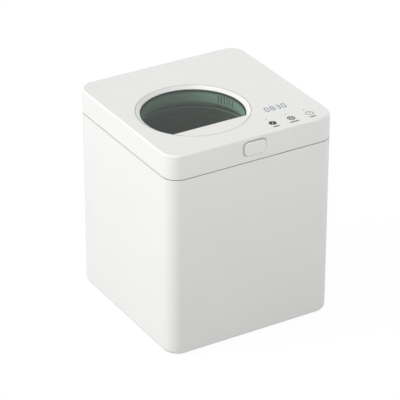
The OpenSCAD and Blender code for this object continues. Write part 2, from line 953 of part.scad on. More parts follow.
// Block of carbon with square cells in both faces
module filter_cartridge() {
    inner = tray_w - 2 * (tray_wall + rest);
    bottom = tray_z + tray_wall + fit;
    front = tray_front + tray_wall + rest;
    depth = rear_y - 1 - rest - front;
    tall = tray_h - tray_wall - 2;
    cell = 9;
    columns = 6;
    rows = 4;
    step_x = (inner - 4) / columns;
    step_z = (tall - 4) / rows;
    color([0.2, 0.2, 0.2])
        difference() {
            translate([case_x - inner / 2, front, bottom])
                cube([inner, depth, tall]);
            for (x = [0 : columns - 1], z = [0 : rows - 1], y = [front - slack, front + depth - 2])
                translate([case_x - inner / 2 + 2 + step_x * (x + 0.5) - cell / 2, y,
                        bottom + 2 + step_z * (z + 0.5) - cell / 2])
                    cube([cell, 2 + slack, cell]);
        }
}

module tray_gasket() {
    gasket_t = 1.4;
    color(dark)
        translate([case_x, rear_y - fit - gasket_t, case_z + case_h / 2])
            rotate([-90, 0, 0])
                linear_extrude(gasket_t)
                    difference() {
                        plan(case_w - 1, case_h - 1, 3);
                        square([tray_w + 2 * fit, tray_h + 2 * fit], center = true);
                    }
}

// ---- electrics ----

module power_board() {
    low_y = wire_board_y - wire_board_w / 2;
    low_z = wire_board_z - wire_board_h / 2;
    color(green)
        translate([wire_board_x, low_y, low_z])
            difference() {
                cube([board_t - fit, wire_board_w, wire_board_h]);
                for (y = [wire_hole_in, wire_board_w - wire_hole_in],
                        z = [wire_hole_in, wire_board_h - wire_hole_in])
                    translate([-slack, y, z])
                        rotate([0, 90, 0])
                            cylinder(r = 1.2, h = board_t + 2 * slack);
            }
    // transformer, relay and two capacitors
    color([0.2, 0.2, 0.22]) {
        block(12, 24, 22, wire_board_x - 6, low_y + wire_board_w - 18, low_z + 18);
        block(9, 14, 14, wire_board_x - 4.5, low_y + wire_board_w - 22, low_z + 60);
    }
    color([0.75, 0.75, 0.72])
        for (y = [14, 28])
            translate([wire_board_x - 10, low_y + y, low_z + 14])
                rotate([0, 90, 0])
                    cylinder(r = 5, h = 10);
}

module power_inlet() {
    pins = [[-7, -1], [7, -1], [0, 3]];
    color(dark)
        translate([inlet_x, 0, inlet_z])
            difference() {
                union() {
                    translate([0, rear_y + wall, 0])
                        rotate([-90, 0, 0])
                            linear_extrude(inlet_proud)
                                plan(inlet_w, inlet_h, 3);
                    translate([0, rear_y - 16, 0])
                        rotate([-90, 0, 0])
                            linear_extrude(16 + wall + 0.5)
                                plan(inlet_w - 3 - 2 * fit, inlet_h - 3 - 2 * fit, 2 - fit);
                }
                translate([0, rear_y - 12, 0])
                    rotate([-90, 0, 0])
                        linear_extrude(20)
                            polygon([[-11.5, 7.5], [-11.5, -4], [-7.5, -7.5],
                                [7.5, -7.5], [11.5, -4], [11.5, 7.5]]);
            }
    color(steel)
        for (p = pins)
            block(2, 12, 4, inlet_x + p[0], rear_y - 6.5, inlet_z + p[1] - 2);
}

sensor_x = body_w / 2 - 28;
sensor_y = -body_d / 2 + 30;

module lid_sensor() {
    color(dark)
        block(14, 8, 5, sensor_x, sensor_y, deck_z - 5);
}

module sensor_magnet() {
    color(steel)
        translate([sensor_x, sensor_y, liner_z + liner_t])
            cylinder(r = 4, h = 3);
}

// ---- bucket and stirrer ----

module bucket_profile() {
    inner_r = bucket_r - bucket_wall;
    outer_round = bucket_round + bucket_wall;
    // wall, rounded into the floor
    translate([inner_r, bucket_z + outer_round])
        square([bucket_wall, bucket_top - bucket_z - outer_round]);
    translate([bucket_r - outer_round, bucket_z + outer_round])
        intersection() {
            difference() {
                circle(outer_round);
                circle(bucket_round);
            }
            translate([0, -outer_round])
                square(outer_round);
        }
    translate([dome_r - bucket_wall, bucket_z])
        square([bucket_r - outer_round - dome_r + bucket_wall, bucket_wall]);
    // dome over the coupling
    translate([dome_r - bucket_wall, bucket_z])
        square([bucket_wall, dome_h]);
    translate([bush_r, bush_z])
        square([dome_r - bush_r, bucket_wall]);
    translate([bush_r, bush_z])
        square([3, bush_h]);
    // rim
    translate([inner_r, bucket_top - flange_t])
        square([flange_r - inner_r, flange_t]);
}

grip_arc = 32;
grip_step = 0.4;
grip_lip = 2;

module bucket() {
    color([0.3, 0.31, 0.32])
        at_axis() {
            rotate_extrude()
                bucket_profile();
            for (a = [0, 180])
                rotate([0, 0, a - grip_arc / 2])
                    rotate_extrude(angle = grip_arc)
                        translate([bucket_r - bucket_wall + grip_step, bucket_top - 1]) {
                            square([grip_t, grip_h + 1]);
                            // finger lip along the grip's top
                            translate([-grip_lip, grip_h + 1 - grip_t])
                                square([grip_lip + grip_t, grip_t]);
                        }
        }
}

bush_z = bucket_z + dome_h - bucket_wall;
bush_h = 14;
bush_r = 5.6;

module bucket_bush() {
    color([0.72, 0.56, 0.28])
        at_axis()
            tube(bush_r - fit, shaft_r + run, bush_z, bush_h);
}

module stirrer_shaft() {
    low = dog_z + dog_h + 2;
    color(steel)
        at_axis()
            translate([0, 0, low])
                cylinder(r = shaft_r, h = hub_z + hub_h + 6 - low);
}

module dog_socket() {
    color([0.3, 0.31, 0.33])
        at_axis()
            difference() {
                translate([0, 0, dog_z + 0.4])
                    cylinder(r = dog_r + 1.5, h = dog_h + 5);
                translate([0, 0, dog_z])
                    cylinder(r = 8.4, h = dog_h + 0.4 + rest);
                for (i = [0 : 2])
                    rotate([0, 0, 120 * i])
                        translate([0, -2.9, dog_z])
                            cube([dog_r - 0.6, 5.8, dog_h + rest + 0.4]);
                translate([0, 0, dog_z + dog_h])
                    cylinder(r = shaft_r + fit, h = 10);
            }
}

hub_z = bush_z + bush_h + rest;
hub_foot = 6;
blade_h = 14;
hub_h = hub_foot + arm_rise * (arm_count - 1) + blade_h;

// One arm: a bar with a sloping blade, from the hub to the reach
module arm(z, a, lean) {
    rotate([0, 0, a])
        translate([0, 0, z])
            rotate([90, 0, 90])
                translate([0, 0, hub_r - 3])
                    linear_extrude(arm_reach - hub_r + 3)
                        polygon([[-3, 0], [3, 0], [5 + lean, blade_h - 2], [2 + lean, blade_h]]);
}

module stirrer() {
    sweep_z = bucket_z + bucket_wall + 2;
    color([0.66, 0.67, 0.69])
        at_axis()
            difference() {
                intersection() {
                    union() {
                        translate([0, 0, hub_z])
                            cylinder(r = hub_r, h = hub_h);
                        for (i = [0 : arm_count - 1])
                            arm(hub_z + hub_foot + arm_rise * i, 40 + 360 / arm_count * i, 4);
                        // floor sweep: a bowed blade that drops from the hub to the floor
                        for (a = [0, 180])
                            rotate([0, 0, a])
                                floor_sweep(sweep_z);
                    }
                    rotate_extrude()
                        sweep_limit(sweep_z);
                }
                translate([0, 0, hub_z - slack])
                    cylinder(r = shaft_r + fit, h = hub_h + 2 * slack);
                rotate_extrude()
                    translate([0, bucket_z])
                        square([dome_r + 3, dome_h + 2]);
                rotate_extrude()
                    translate([0, bucket_z])
                        square([10, hub_z - bucket_z]);
            }
}

module floor_sweep(z) {
    translate([0, 0, z])
        rotate([90, 0, 90])
            translate([0, 0, hub_r - 4])
                linear_extrude(arm_reach - hub_r + 4)
                    polygon([[-4, 0], [0, 0], [11, 18], [11, 40], [8, 40], [8, 19]]);
}

// Space that the stirrer turns in, inside the rounded floor
module sweep_limit(z) {
    square_top = hub_z + hub_h + 20;
    difference() {
        translate([0, z])
            square([arm_reach, square_top - z]);
        translate([arm_reach - bucket_round, z - slack])
            difference() {
                square([bucket_round + slack, bucket_round + slack]);
                translate([0, bucket_round + slack])
                    circle(bucket_round);
            }
    }
    translate([0, z])
        square([hub_r + 1, square_top - z]);
}

module stirrer_nut() {
    top = hub_z + hub_h + fit;
    color(steel)
        at_axis()
            difference() {
                union() {
                    translate([0, 0, top])
                        cylinder(r = 9, h = 2);
                    translate([0, 0, top])
                        cylinder(r = 7.5, h = 9, $fn = 6);
                }
                translate([0, 0, top - slack])
                    cylinder(r = shaft_r + fit, h = 7);
            }
}

// ---- lid ----

module lid_profile() {
    difference() {
        union() {
            translate([corner_r - wall, lid_z])
                square([wall, lid_h]);
            translate([0, body_h - wall])
                square([corner_r, wall]);
        }
        translate([corner_r - top_round, body_h - top_round])
            difference() {
                square(top_round + slack);
                circle(top_round);
            }
    }
}

// Prism outside the rounded rear edge, along the whole width
module rear_round() {
    difference() {
        translate([-body_w / 2 - slack, hinge_y, lid_z - slack])
            cube([body_w + 2 * slack, hinge_edge_r + slack, hinge_edge_r + slack]);
        rod_x(hinge_edge_r, body_w + 4 * slack, hinge_y, hinge_z);
    }
}

module hinge_notches() {
    for (x = [-1, 1])
        translate([x * hinge_reach - knuckle_w / 2 - 0.5, hinge_y - knuckle_r - 0.6, lid_z - slack])
            cube([knuckle_w + 1, knuckle_r + hinge_edge_r + 1.6, hinge_edge_r + slack + 6.4]);
}

function lid_bosses() = [for (x = [-1, 1], y = [-1, 1]) [x * (body_w / 2 - 16), y * (body_d / 2 - 16)]];
function board_posts() = [
    [panel_right - 97, panel_front + 10.5], [panel_right - 25.5, panel_front + 10.5],
    [panel_right - 25.5, panel_front + 71], [axis_x + 71.5, panel_front + 51]
];

module lid_shell() {
    color(white)
        difference() {
            union() {
                around(body_w, body_d, corner_r)
                    lid_profile();
                block(body_w - 2 * corner_r, body_d - 2 * corner_r, wall, 0, 0, body_h - wall);
                for (p = lid_bosses())
                    translate([p[0], p[1], liner_z + liner_t])
                        cylinder(r = 4, h = body_h - liner_z - liner_t - slack);
                for (p = board_posts())
                    translate([p[0], p[1], board_z + board_t])
                        cylinder(r = post_r, h = body_h - board_z - board_t - slack);
                for (x = [-1, 1])
                    translate([x * hinge_reach, 0, 0])
                        hinge_boss();
            }
            at_axis()
                translate([0, 0, body_h - wall - slack])
                    cylinder(r = frame_r + rest, h = wall + 2 * slack);
            translate([0, -body_d / 2 - slack, latch_z])
                rotate([-90, 0, 0])
                    linear_extrude(wall + 2 * slack)
                        plan(button_w + 2 * button_gap, button_h + 2 * button_gap, button_r + button_gap);
            rear_round();
            hinge_notches();
            for (x = [-1, 1])
                translate([x * hinge_reach, 0, 0])
                    rod_x(pin_r + fit, knuckle_w + 2 * boss_w + 1, hinge_y, hinge_z);
            for (p = lid_bosses())
                translate([p[0], p[1], liner_z + liner_t - slack])
                    cylinder(r = screw_r + fit, h = 12);
        }
}

module hinge_boss() {
    difference() {
        union() {
            rod_x(knuckle_r, knuckle_w + 2 * boss_w + 1, hinge_y, hinge_z);
            translate([-knuckle_w / 2 - boss_w - 0.5, hinge_y - 1.5, hinge_z])
                cube([knuckle_w + 2 * boss_w + 1, 6, 12]);
        }
        translate([-knuckle_w / 2 - 0.5, hinge_y - 8, hinge_z - 8])
            cube([knuckle_w + 1, 16, 22]);
    }
}

module lid_liner() {
    liner_w = body_w - 2 * wall - 2 * rest;
    liner_d = body_d - 2 * wall - 2 * rest;
    top = liner_z + liner_t;
    ear_w = 3;
    ear_x = hook_w / 2 + 1;
    color(pale)
        difference() {
            union() {
                slab(liner_w, liner_d, corner_r - wall - rest, liner_z, liner_t);
                at_axis()
                    translate([0, 0, liner_z])
                        cylinder(r = recess_r + 2, h = ceiling_z + 2 - liner_z);
                at_axis()
                    translate([0, 0, ceiling_z])
                        cylinder(r = collar_r + 2, h = collar_h);
                for (x = [-1, 1])
                    block(ear_w, 9, hook_z + 4 - liner_z, x * (ear_x + ear_w / 2), hook_y, liner_z);
            }
            at_axis() {
                translate([0, 0, liner_z - slack])
                    cylinder(r = recess_r, h = ceiling_z - liner_z + slack);
                translate([0, 0, ceiling_z - slack])
                    cylinder(r = collar_r, h = collar_h + 2 * slack);
                tube(gasket_r + gasket_w, gasket_r, liner_z - slack, slack + 0.8);
                for (i = [0 : vent_count - 1])
                    rotate([0, 0, 10 + 4 * i])
                        translate([collar_r - slack, -1, ceiling_z + 2.5])
                            cube([4, 2, collar_h - 5]);
            }
            block(pocket_w - 1, pocket_back - pocket_front - 1, liner_t + 2 * slack, 0,
                (pocket_back + pocket_front) / 2, liner_z - slack);
            rod_x(hook_pin_r + fit, 2 * (ear_x + ear_w + slack), hook_y, hook_z);
            // clear of the hinge bosses, at every angle of the lid
            for (x = [-1, 1])
                block(knuckle_w + 2 * boss_w + 2, 20, 20, x * hinge_reach, hinge_y - knuckle_r + 9,
                    liner_z - slack);
            rear_round();
            for (p = lid_bosses())
                translate([p[0], p[1], liner_z - slack])
                    cylinder(r = screw_r + 0.2, h = liner_t + 2 * slack);
            block(port_w, port_w, liner_t + 2 * slack, fan_x, port_y, liner_z - slack);
        }
}

module window_frame() {
    flange_top = body_h - wall - fit;
    color(white)
        at_axis()
            difference() {
                union() {
                    translate([0, 0, collar_top + 0.4])
                        cylinder(r = frame_r + 4.5, h = flange_top - collar_top - 0.4);
                    translate([0, 0, flange_top - slack])
                        cylinder(r = frame_r, h = body_h - flange_top + slack);
                }
                intersection() {
                    translate([0, 0, glass_z])
                        cylinder(r1 = sight_r, r2 = frame_r - 0.2, h = sight_depth + 0.001);
                    behind_chord(chord_y, glass_z - slack, sight_depth + 2 * slack);
                }
                intersection() {
                    translate([0, 0, collar_top - slack])
                        cylinder(r = glass_r + fit, h = glass_z - collar_top + slack);
                    behind_chord(chord_y + 2, collar_top - 2 * slack, glass_z - collar_top + 2 * slack);
                }
                translate([0, 0, collar_top - slack])
                    cylinder(r = glass_r + fit, h = seal_t + slack);
                intersection() {
                    translate([0, 0, glass_z - slack])
                        cylinder(r = sight_r, h = slack + 0.01);
                    behind_chord(chord_y, glass_z - 2 * slack, 3 * slack);
                }
            }
}

// Everything behind a straight edge, as a block
module behind_chord(distance, z, h) {
    reach = frame_r + 20;
    translate([-reach, -distance, z])
        cube([2 * reach, reach + distance, h]);
}

module window_glass() {
    color([0.45, 0.6, 0.56, 0.5])
        at_axis()
            intersection() {
                translate([0, 0, glass_z - glass_t])
                    cylinder(r = glass_r, h = glass_t);
                behind_chord(chord_y + 2 - fit, glass_z - glass_t - slack, glass_t + 2 * slack);
            }
}

module window_seal() {
    color(dark)
        at_axis()
            tube(glass_r, collar_r, collar_top + fit, seal_t - 2 * fit);
}

module lid_gasket() {
    color([0.55, 0.57, 0.57])
        at_axis()
            rotate_extrude() {
                translate([gasket_r + fit, rim_z + rest + bulb_r])
                    square([gasket_w - 2 * fit, liner_z + 0.8 - fit - rim_z - rest - bulb_r]);
                translate([gasket_r + gasket_w / 2, rim_z + rest + bulb_r])
                    circle(bulb_r);
            }
}

module lid_screws() {
    color(steel)
        for (p = lid_bosses())
            translate([p[0], p[1], liner_z - 1]) {
                cylinder(r = 3, h = 1 - fit);
                cylinder(r = screw_r, h = 12);
            }
}

module hinge_pins() {
    color(steel)
        for (x = [-1, 1])
            translate([x * hinge_reach, 0, 0])
                rod_x(pin_r, knuckle_w + 2 * boss_w, hinge_y, hinge_z);
}

module touch_board() {
    left = axis_x + 65.5;
    right = panel_right - 22;
    front = panel_front + 6;
    back = panel_front + 75;
    step = [16, 18];
    color(green)
        difference() {
            translate([0, 0, board_z])
                linear_extrude(board_t)
                    polygon([[left, front], [right, front], [right, back], [left + step[0], back],
                        [left + step[0], back - step[1]], [left, back - step[1]]]);
            for (p = board_posts())
                translate([p[0], p[1], board_z - slack])
                    cylinder(r = 1, h = board_t + 2 * slack);
        }
}

module display_module() {
    color(dark)
        block(display_w, display_d, pad_h, display_x, display_y, board_z + board_t + fit);
}

module touch_pads() {
    color([0.8, 0.78, 0.7])
        for (i = [-1 : 1])
            translate([key_x + i * key_pitch, key_y, board_z + board_t + fit])
                cylinder(r = key_r, h = pad_h);
}

// ---- latch ----

button_t = 1.6;
button_depth = button_proud + wall + button_t;

// Section of the cap from the middle of a corner outwards, with its front edge rounded
module button_profile() {
    square([button_r - button_edge, button_depth]);
    square([button_r, button_depth - button_edge]);
    translate([button_r - button_edge, button_depth - button_edge])
        circle(button_edge);
}

module latch_button() {
    back = -body_d / 2 + wall + rest;
    color(white)
        translate([0, 0, latch_z]) {
            translate([0, -body_d / 2 + wall + button_t, 0])
                rotate([90, 0, 0]) {
                    around(button_w, button_h, button_r)
                        button_profile();
                    linear_extrude(button_depth)
                        square([button_w - 2 * button_r + slack, button_h - 2 * button_r + slack],
                            center = true);
                }
            translate([0, back, 0])
                rotate([-90, 0, 0])
                    linear_extrude(button_t)
                        plan(button_w + 4, button_h + 4, button_r + 2);
            translate([-4, back, -stem_r])
                cube([8, hook_y - hook_t / 2 - rest - stem_r - back, 2 * stem_r]);
            rod_x(stem_r, 8, hook_y - hook_t / 2 - rest - stem_r, 0);
        }
}

module latch_hook() {
    low = nose_top - nose_h;
    color(steel)
        difference() {
            union() {
                block(hook_w, hook_t, latch_z + 4 - low, 0, hook_y, low);
                rod_x(hook_hub_r, hook_w, hook_y, hook_z);
                translate([-hook_w / 2, hook_y, low])
                    cube([hook_w, hook_tip - hook_y, nose_h]);
                translate([-4, hook_y, hook_z - 1.2])
                    cube([8, spring_reach + spring_r, 2.8]);
            }
            rod_x(hook_pin_r + run, hook_w + 2 * slack, hook_y, hook_z);
        }
}

module hook_pin() {
    color(steel)
        rod_x(hook_pin_r, hook_w + 7, hook_y, hook_z);
}

module hook_spring() {
    top = hook_z - 1.2 - rest;
    low = liner_z + liner_t + fit;
    color(steel)
        translate([0, hook_y + spring_reach, 0])
            tube(spring_r, spring_r - 0.8, low, top - low);
}

outer_housing();
base_plate();
rubber_feet();
base_screws();
top_deck();
latch_keeper();
heating_well();
heater_band();
insulation_sleeve();
temperature_sensor();
shaft_seal();
gearbox_housing();
gearbox_cover();
drive_bearings();
idler_axle();
drive_motor();
filter_case();
fan_frame();
exhaust_duct();
power_board();
power_inlet();
lid_sensor();
output_gear();
drive_shaft();
drive_dog();
idler_gear();
motor_pinion();
fan_rotor();
filter_tray();
filter_cartridge();
tray_gasket();
bucket();
bucket_bush();
stirrer();
stirrer_shaft();
dog_socket();
stirrer_nut();
lid_shell();
lid_liner();
window_frame();
window_glass();
window_seal();
lid_gasket();
lid_screws();
hinge_pins();
touch_board();
display_module();
touch_pads();
sensor_magnet();
hook_pin();
hook_spring();
latch_button();
latch_hook();
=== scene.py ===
import json
import math

import bmesh
import bpy
from mathutils import Matrix, Vector


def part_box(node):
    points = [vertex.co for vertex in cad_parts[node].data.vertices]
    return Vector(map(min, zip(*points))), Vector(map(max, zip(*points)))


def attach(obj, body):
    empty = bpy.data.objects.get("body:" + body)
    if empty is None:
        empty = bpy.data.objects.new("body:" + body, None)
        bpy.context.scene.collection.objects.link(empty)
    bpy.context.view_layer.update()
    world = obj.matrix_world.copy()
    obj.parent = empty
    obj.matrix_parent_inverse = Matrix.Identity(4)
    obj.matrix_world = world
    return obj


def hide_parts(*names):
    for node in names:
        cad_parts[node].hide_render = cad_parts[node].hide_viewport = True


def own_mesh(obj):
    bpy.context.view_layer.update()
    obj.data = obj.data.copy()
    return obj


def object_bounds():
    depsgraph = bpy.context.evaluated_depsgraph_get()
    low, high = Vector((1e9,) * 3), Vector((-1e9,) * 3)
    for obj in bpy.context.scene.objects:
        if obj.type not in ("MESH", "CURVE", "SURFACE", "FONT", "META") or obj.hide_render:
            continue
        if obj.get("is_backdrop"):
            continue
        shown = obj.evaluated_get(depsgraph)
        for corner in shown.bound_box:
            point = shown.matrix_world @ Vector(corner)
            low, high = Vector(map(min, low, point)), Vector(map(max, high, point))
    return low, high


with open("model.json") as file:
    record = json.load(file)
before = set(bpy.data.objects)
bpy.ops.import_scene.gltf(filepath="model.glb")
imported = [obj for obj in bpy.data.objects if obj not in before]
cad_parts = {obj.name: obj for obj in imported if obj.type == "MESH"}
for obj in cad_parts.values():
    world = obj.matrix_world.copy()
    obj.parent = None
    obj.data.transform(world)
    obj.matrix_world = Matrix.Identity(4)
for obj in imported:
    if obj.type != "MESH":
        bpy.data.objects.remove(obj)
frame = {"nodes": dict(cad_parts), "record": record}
cadLow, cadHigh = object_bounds()
nodes = frame["nodes"]
scene = bpy.context.scene
mm = 0.001
fullTurn = 2 * math.pi
print("frame loaded:", len(nodes), "nodes")


def boxOf(name):
    # both corners of a node's box, in millimetres to two places
    return [[round(value / mm, 2) for value in corner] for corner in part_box(name)]


def middleOf(name):
    return [(low + high) / 2 for low, high in zip(*boxOf(name))]


# the window, the bucket and the stirrer stand round one upright line, whose foot this is, in metres
axisX, axisY = middleOf("bucket")[:2]
axisFoot = (axisX * mm, axisY * mm, 0.0)
lidTop = boxOf("lid_shell")[1][2]


# helpers for the node trees

def addNode(tree, kind, x=0, y=0, **settings):
    node = tree.nodes.new(kind)
    node.location = (x, y)
    for key, value in settings.items():
        setattr(node, key, value)
    return node


def setInputs(node, **values):
    # an underscore in a key stands for the space in the socket's name
    for key, value in values.items():
        node.inputs[key.replace("_", " ")].default_value = value


def link(tree, *pairs):
    for output, target in pairs:
        tree.links.new(output, target)


def newGroup(name, inputs, outputs):
    group = bpy.data.node_groups.new(name, "ShaderNodeTree")
    for socketName, kind, value in inputs:
        socket = group.interface.new_socket(name=socketName, in_out="INPUT", socket_type=kind)
        socket.default_value = value
    for socketName, kind in outputs:
        group.interface.new_socket(name=socketName, in_out="OUTPUT", socket_type=kind)
    start = addNode(group, "NodeGroupInput", -900)
    end = addNode(group, "NodeGroupOutput", 700)
    return group, start, end


def mathNode(tree, operation, a, b=None, x=0, y=0, clamp=False):
    node = addNode(tree, "ShaderNodeMath", x, y, operation=operation, use_clamp=clamp)
    for i, value in enumerate((a, b)):
        if value is None:
            continue
        if isinstance(value, (int, float)):
            node.inputs[i].default_value = value
        else:
            tree.links.new(value, node.inputs[i])
    return node.outputs[0]


def mixColour(tree, factor, a, b, x=0, y=0):
    node = addNode(tree, "ShaderNodeMix", x, y, data_type="RGBA")
    for index, value in ((0, factor), (6, a), (7, b)):
        if isinstance(value, (int, float)):
            node.inputs[index].default_value = value
        elif isinstance(value, (tuple, list)):
            node.inputs[index].default_value = (*value, 1.0)
        else:
            tree.links.new(value, node.inputs[index])
    return node.outputs[2]


def remap(tree, value, low, high, x=0, y=0, fromLow=0.3, fromHigh=0.7):
    node = addNode(tree, "ShaderNodeMapRange", x, y)
    setInputs(node, From_Min=fromLow, From_Max=fromHigh, To_Min=low, To_Max=high)
    tree.links.new(value, node.inputs["Value"])
    return node.outputs["Result"]


def useGroup(tree, group, x, y, **values):
    node = addNode(tree, "ShaderNodeGroup", x, y, node_tree=group)
    setInputs(node, **values)
    return node


# effects that several finishes share

def makeGrainGroup():
    group, start, end = newGroup(
        "mouldedGrain",
        [("Scale", "NodeSocketFloat", 2600.0), ("Patch Scale", "NodeSocketFloat", 14.0),
         ("Seed", "NodeSocketFloat", 0.0)],
        [("Height", "NodeSocketFloat"), ("Patch", "NodeSocketFloat"), ("Fleck", "NodeSocketFloat")])
    place = addNode(group, "ShaderNodeTexCoord", -900, -300)
    fine = addNode(group, "ShaderNodeTexNoise", -500, 200, noise_dimensions="4D")
    setInputs(fine, Detail=2.0, Roughness=0.6)
    cells = addNode(group, "ShaderNodeTexVoronoi", -500, -100, voronoi_dimensions="3D", feature="F1")
    patch = addNode(group, "ShaderNodeTexNoise", -500, -400, noise_dimensions="4D")
    setInputs(patch, Detail=3.0, Roughness=0.55)
    fleck = addNode(group, "ShaderNodeTexNoise", -500, -700, noise_dimensions="4D")
    setInputs(fleck, Detail=1.0, Roughness=0.5)
    for texture in (fine, cells, patch, fleck):
        group.links.new(place.outputs["Object"], texture.inputs["Vector"])
    for texture in (fine, patch, fleck):
        group.links.new(start.outputs["Seed"], texture.inputs["W"])
    # flecks are about eight times coarser than the grain
    coarse = mathNode(group, "MULTIPLY", start.outputs["Scale"], 0.12, -700, -700)
    pits = mathNode(group, "MULTIPLY", cells.outputs["Distance"], 0.5, -250, -100)
    height = mathNode(group, "ADD", fine.outputs["Fac"], pits, 0, 100)
    link(group,
         (start.outputs["Scale"], fine.inputs["Scale"]),
         (start.outputs["Scale"], cells.inputs["Scale"]),
         (start.outputs["Patch Scale"], patch.inputs["Scale"]),
         (coarse, fleck.inputs["Scale"]),
         (height, end.inputs["Height"]),
         (patch.outputs["Fac"], end.inputs["Patch"]),
         (fleck.outputs["Fac"], end.inputs["Fleck"]))
    return group


def makeBrushedGroup():
    group, start, end = newGroup(
        "brushedLines",
        [("Scale", "NodeSocketFloat", 900.0), ("Stretch", "NodeSocketVector", (0.02, 1.0, 1.0)),
         ("Seed", "NodeSocketFloat", 0.0)],
        [("Height", "NodeSocketFloat"), ("Streak", "NodeSocketFloat")])
    place = addNode(group, "ShaderNodeTexCoord", -900, -300)
    stretch = addNode(group, "ShaderNodeVectorMath", -700, -300, operation="MULTIPLY")
    lines = addNode(group, "ShaderNodeTexNoise", -450, 0, noise_dimensions="4D")
    setInputs(lines, Detail=3.0, Roughness=0.65)
    link(group,
         (place.outputs["Object"], stretch.inputs[0]),
         (start.outputs["Stretch"], stretch.inputs[1]),
         (stretch.outputs[0], lines.inputs["Vector"]),
         (start.outputs["Scale"], lines.inputs["Scale"]),
         (start.outputs["Seed"], lines.inputs["W"]),
         (lines.outputs["Fac"], end.inputs["Height"]),
         (remap(group, lines.outputs["Fac"], 0.0, 1.0, -150, -100, 0.35, 0.65), end.inputs["Streak"]))
    return group


def radiusAbout(group, start):
    # a point's place measured from the group's Centre, and how far it lies from the upright line there
    place = addNode(group, "ShaderNodeTexCoord", -900, -300)
    shift = addNode(group, "ShaderNodeVectorMath", -700, -300, operation="SUBTRACT")
    flat = addNode(group, "ShaderNodeVectorMath", -520, -300, operation="MULTIPLY")
    flat.inputs[1].default_value = (1.0, 1.0, 0.0)
    radius = addNode(group, "ShaderNodeVectorMath", -350, -300, operation="LENGTH")
    link(group,
         (place.outputs["Object"], shift.inputs[0]),
         (start.outputs["Centre"], shift.inputs[1]),
         (shift.outputs[0], flat.inputs[0]),
         (flat.outputs[0], radius.inputs[0]))
    return shift.outputs[0], radius.outputs["Value"]


def makeSpunGroup():
    group, start, end = newGroup(
        "spunRings",
        [("Centre", "NodeSocketVector", (0.0, 0.0, 0.0)), ("Rings", "NodeSocketFloat", 1400.0),
         ("Seed", "NodeSocketFloat", 0.0)],
        [("Height", "NodeSocketFloat"), ("Band", "NodeSocketFloat")])
    place, radius = radiusAbout(group, start)
    parts = addNode(group, "ShaderNodeSeparateXYZ", -350, -500)
    mixed = addNode(group, "ShaderNodeCombineXYZ", 0, -200)
    lines = addNode(group, "ShaderNodeTexNoise", 200, 0, noise_dimensions="4D")
    setInputs(lines, Detail=3.0, Roughness=0.7)
    link(group,
         (place, parts.inputs[0]),
         (radius, mixed.inputs[0]),
         (parts.outputs[2], mixed.inputs[2]),
         (mixed.outputs[0], lines.inputs["Vector"]),
         (start.outputs["Rings"], lines.inputs["Scale"]),
         (start.outputs["Seed"], lines.inputs["W"]),
         (lines.outputs["Fac"], end.inputs["Height"]),
         (remap(group, lines.outputs["Fac"], 0.0, 1.0, 450, -200, 0.35, 0.65), end.inputs["Band"]))
    return group


def makeEdgeGroup():
    group, start, end = newGroup(
        "softEdge",
        [("Radius", "NodeSocketFloat", 0.0006), ("Wear", "NodeSocketFloat", 1.0)],
        [("Mask", "NodeSocketFloat"), ("Normal", "NodeSocketVector")])
    bevel = addNode(group, "ShaderNodeBevel", -500, 0, samples=6)
    geometry = addNode(group, "ShaderNodeNewGeometry", -500, -250)
    dot = addNode(group, "ShaderNodeVectorMath", -250, -100, operation="DOT_PRODUCT")
    place = addNode(group, "ShaderNodeTexCoord", -700, -450)
    broken = addNode(group, "ShaderNodeTexNoise", -450, -450)
    setInputs(broken, Scale=260.0, Detail=3.0, Roughness=0.7)
    bend = mathNode(group, "SUBTRACT", 1.0, dot.outputs["Value"], -50, -100, clamp=True)
    patchy = mathNode(group, "MULTIPLY", bend, broken.outputs["Fac"], 120, -200)
    mask = mathNode(group, "MULTIPLY", patchy, start.outputs["Wear"], 300, -200, clamp=True)
    link(group,
         (start.outputs["Radius"], bevel.inputs["Radius"]),
         (bevel.outputs["Normal"], dot.inputs[0]),
         (geometry.outputs["Normal"], dot.inputs[1]),
         (place.outputs["Object"], broken.inputs["Vector"]),
         (mask, end.inputs["Mask"]),
         (bevel.outputs["Normal"], end.inputs["Normal"]))
    return group


# painted shade: where ambient occlusion finds the surface hemmed in, in seams, gaps and hollows, the colour
# is darkened
def makeCreviceGroup():
    group, start, end = newGroup(
        "creviceShade",
        [("Reach", "NodeSocketFloat", 0.004), ("Power", "NodeSocketFloat", 1.6)],
        [("Shade", "NodeSocketFloat")])
    openness = addNode(group, "ShaderNodeAmbientOcclusion", -400, 0, samples=8)
    deep = mathNode(group, "POWER", openness.outputs["AO"], start.outputs["Power"], -100, 0)
    shade = mathNode(group, "SUBTRACT", 1.0, deep, 100, 0, clamp=True)
    link(group, (start.outputs["Reach"], openness.inputs["Distance"]), (shade, end.inputs["Shade"]))
    return group


# painted shade: a soft dark ring round the window's axis that stands in for the shadow in a fine joint
def makeGrooveGroup():
    group, start, end = newGroup(
        "grooveShade",
        [("Centre", "NodeSocketVector", (0.0, 0.0, 0.0)), ("Radius", "NodeSocketFloat", 0.08),
         ("Width", "NodeSocketFloat", 0.0005)],
        [("Mask", "NodeSocketFloat")])
    radius = radiusAbout(group, start)[1]
    off = mathNode(group, "SUBTRACT", radius, start.outputs["Radius"], -180, -300)
    away = mathNode(group, "ABSOLUTE", off, None, 0, -300)
    near = mathNode(group, "DIVIDE", away, start.outputs["Width"], 150, -300, clamp=True)
    link(group, (mathNode(group, "SUBTRACT", 1.0, near, 300, -300), end.inputs["Mask"]))
    return group


grainGroup = makeGrainGroup()
brushedGroup = makeBrushedGroup()
spunGroup = makeSpunGroup()
edgeGroup = makeEdgeGroup()
creviceGroup = makeCreviceGroup()
grooveGroup = makeGrooveGroup()
print("shared effects built")


# finishes of the solid pieces

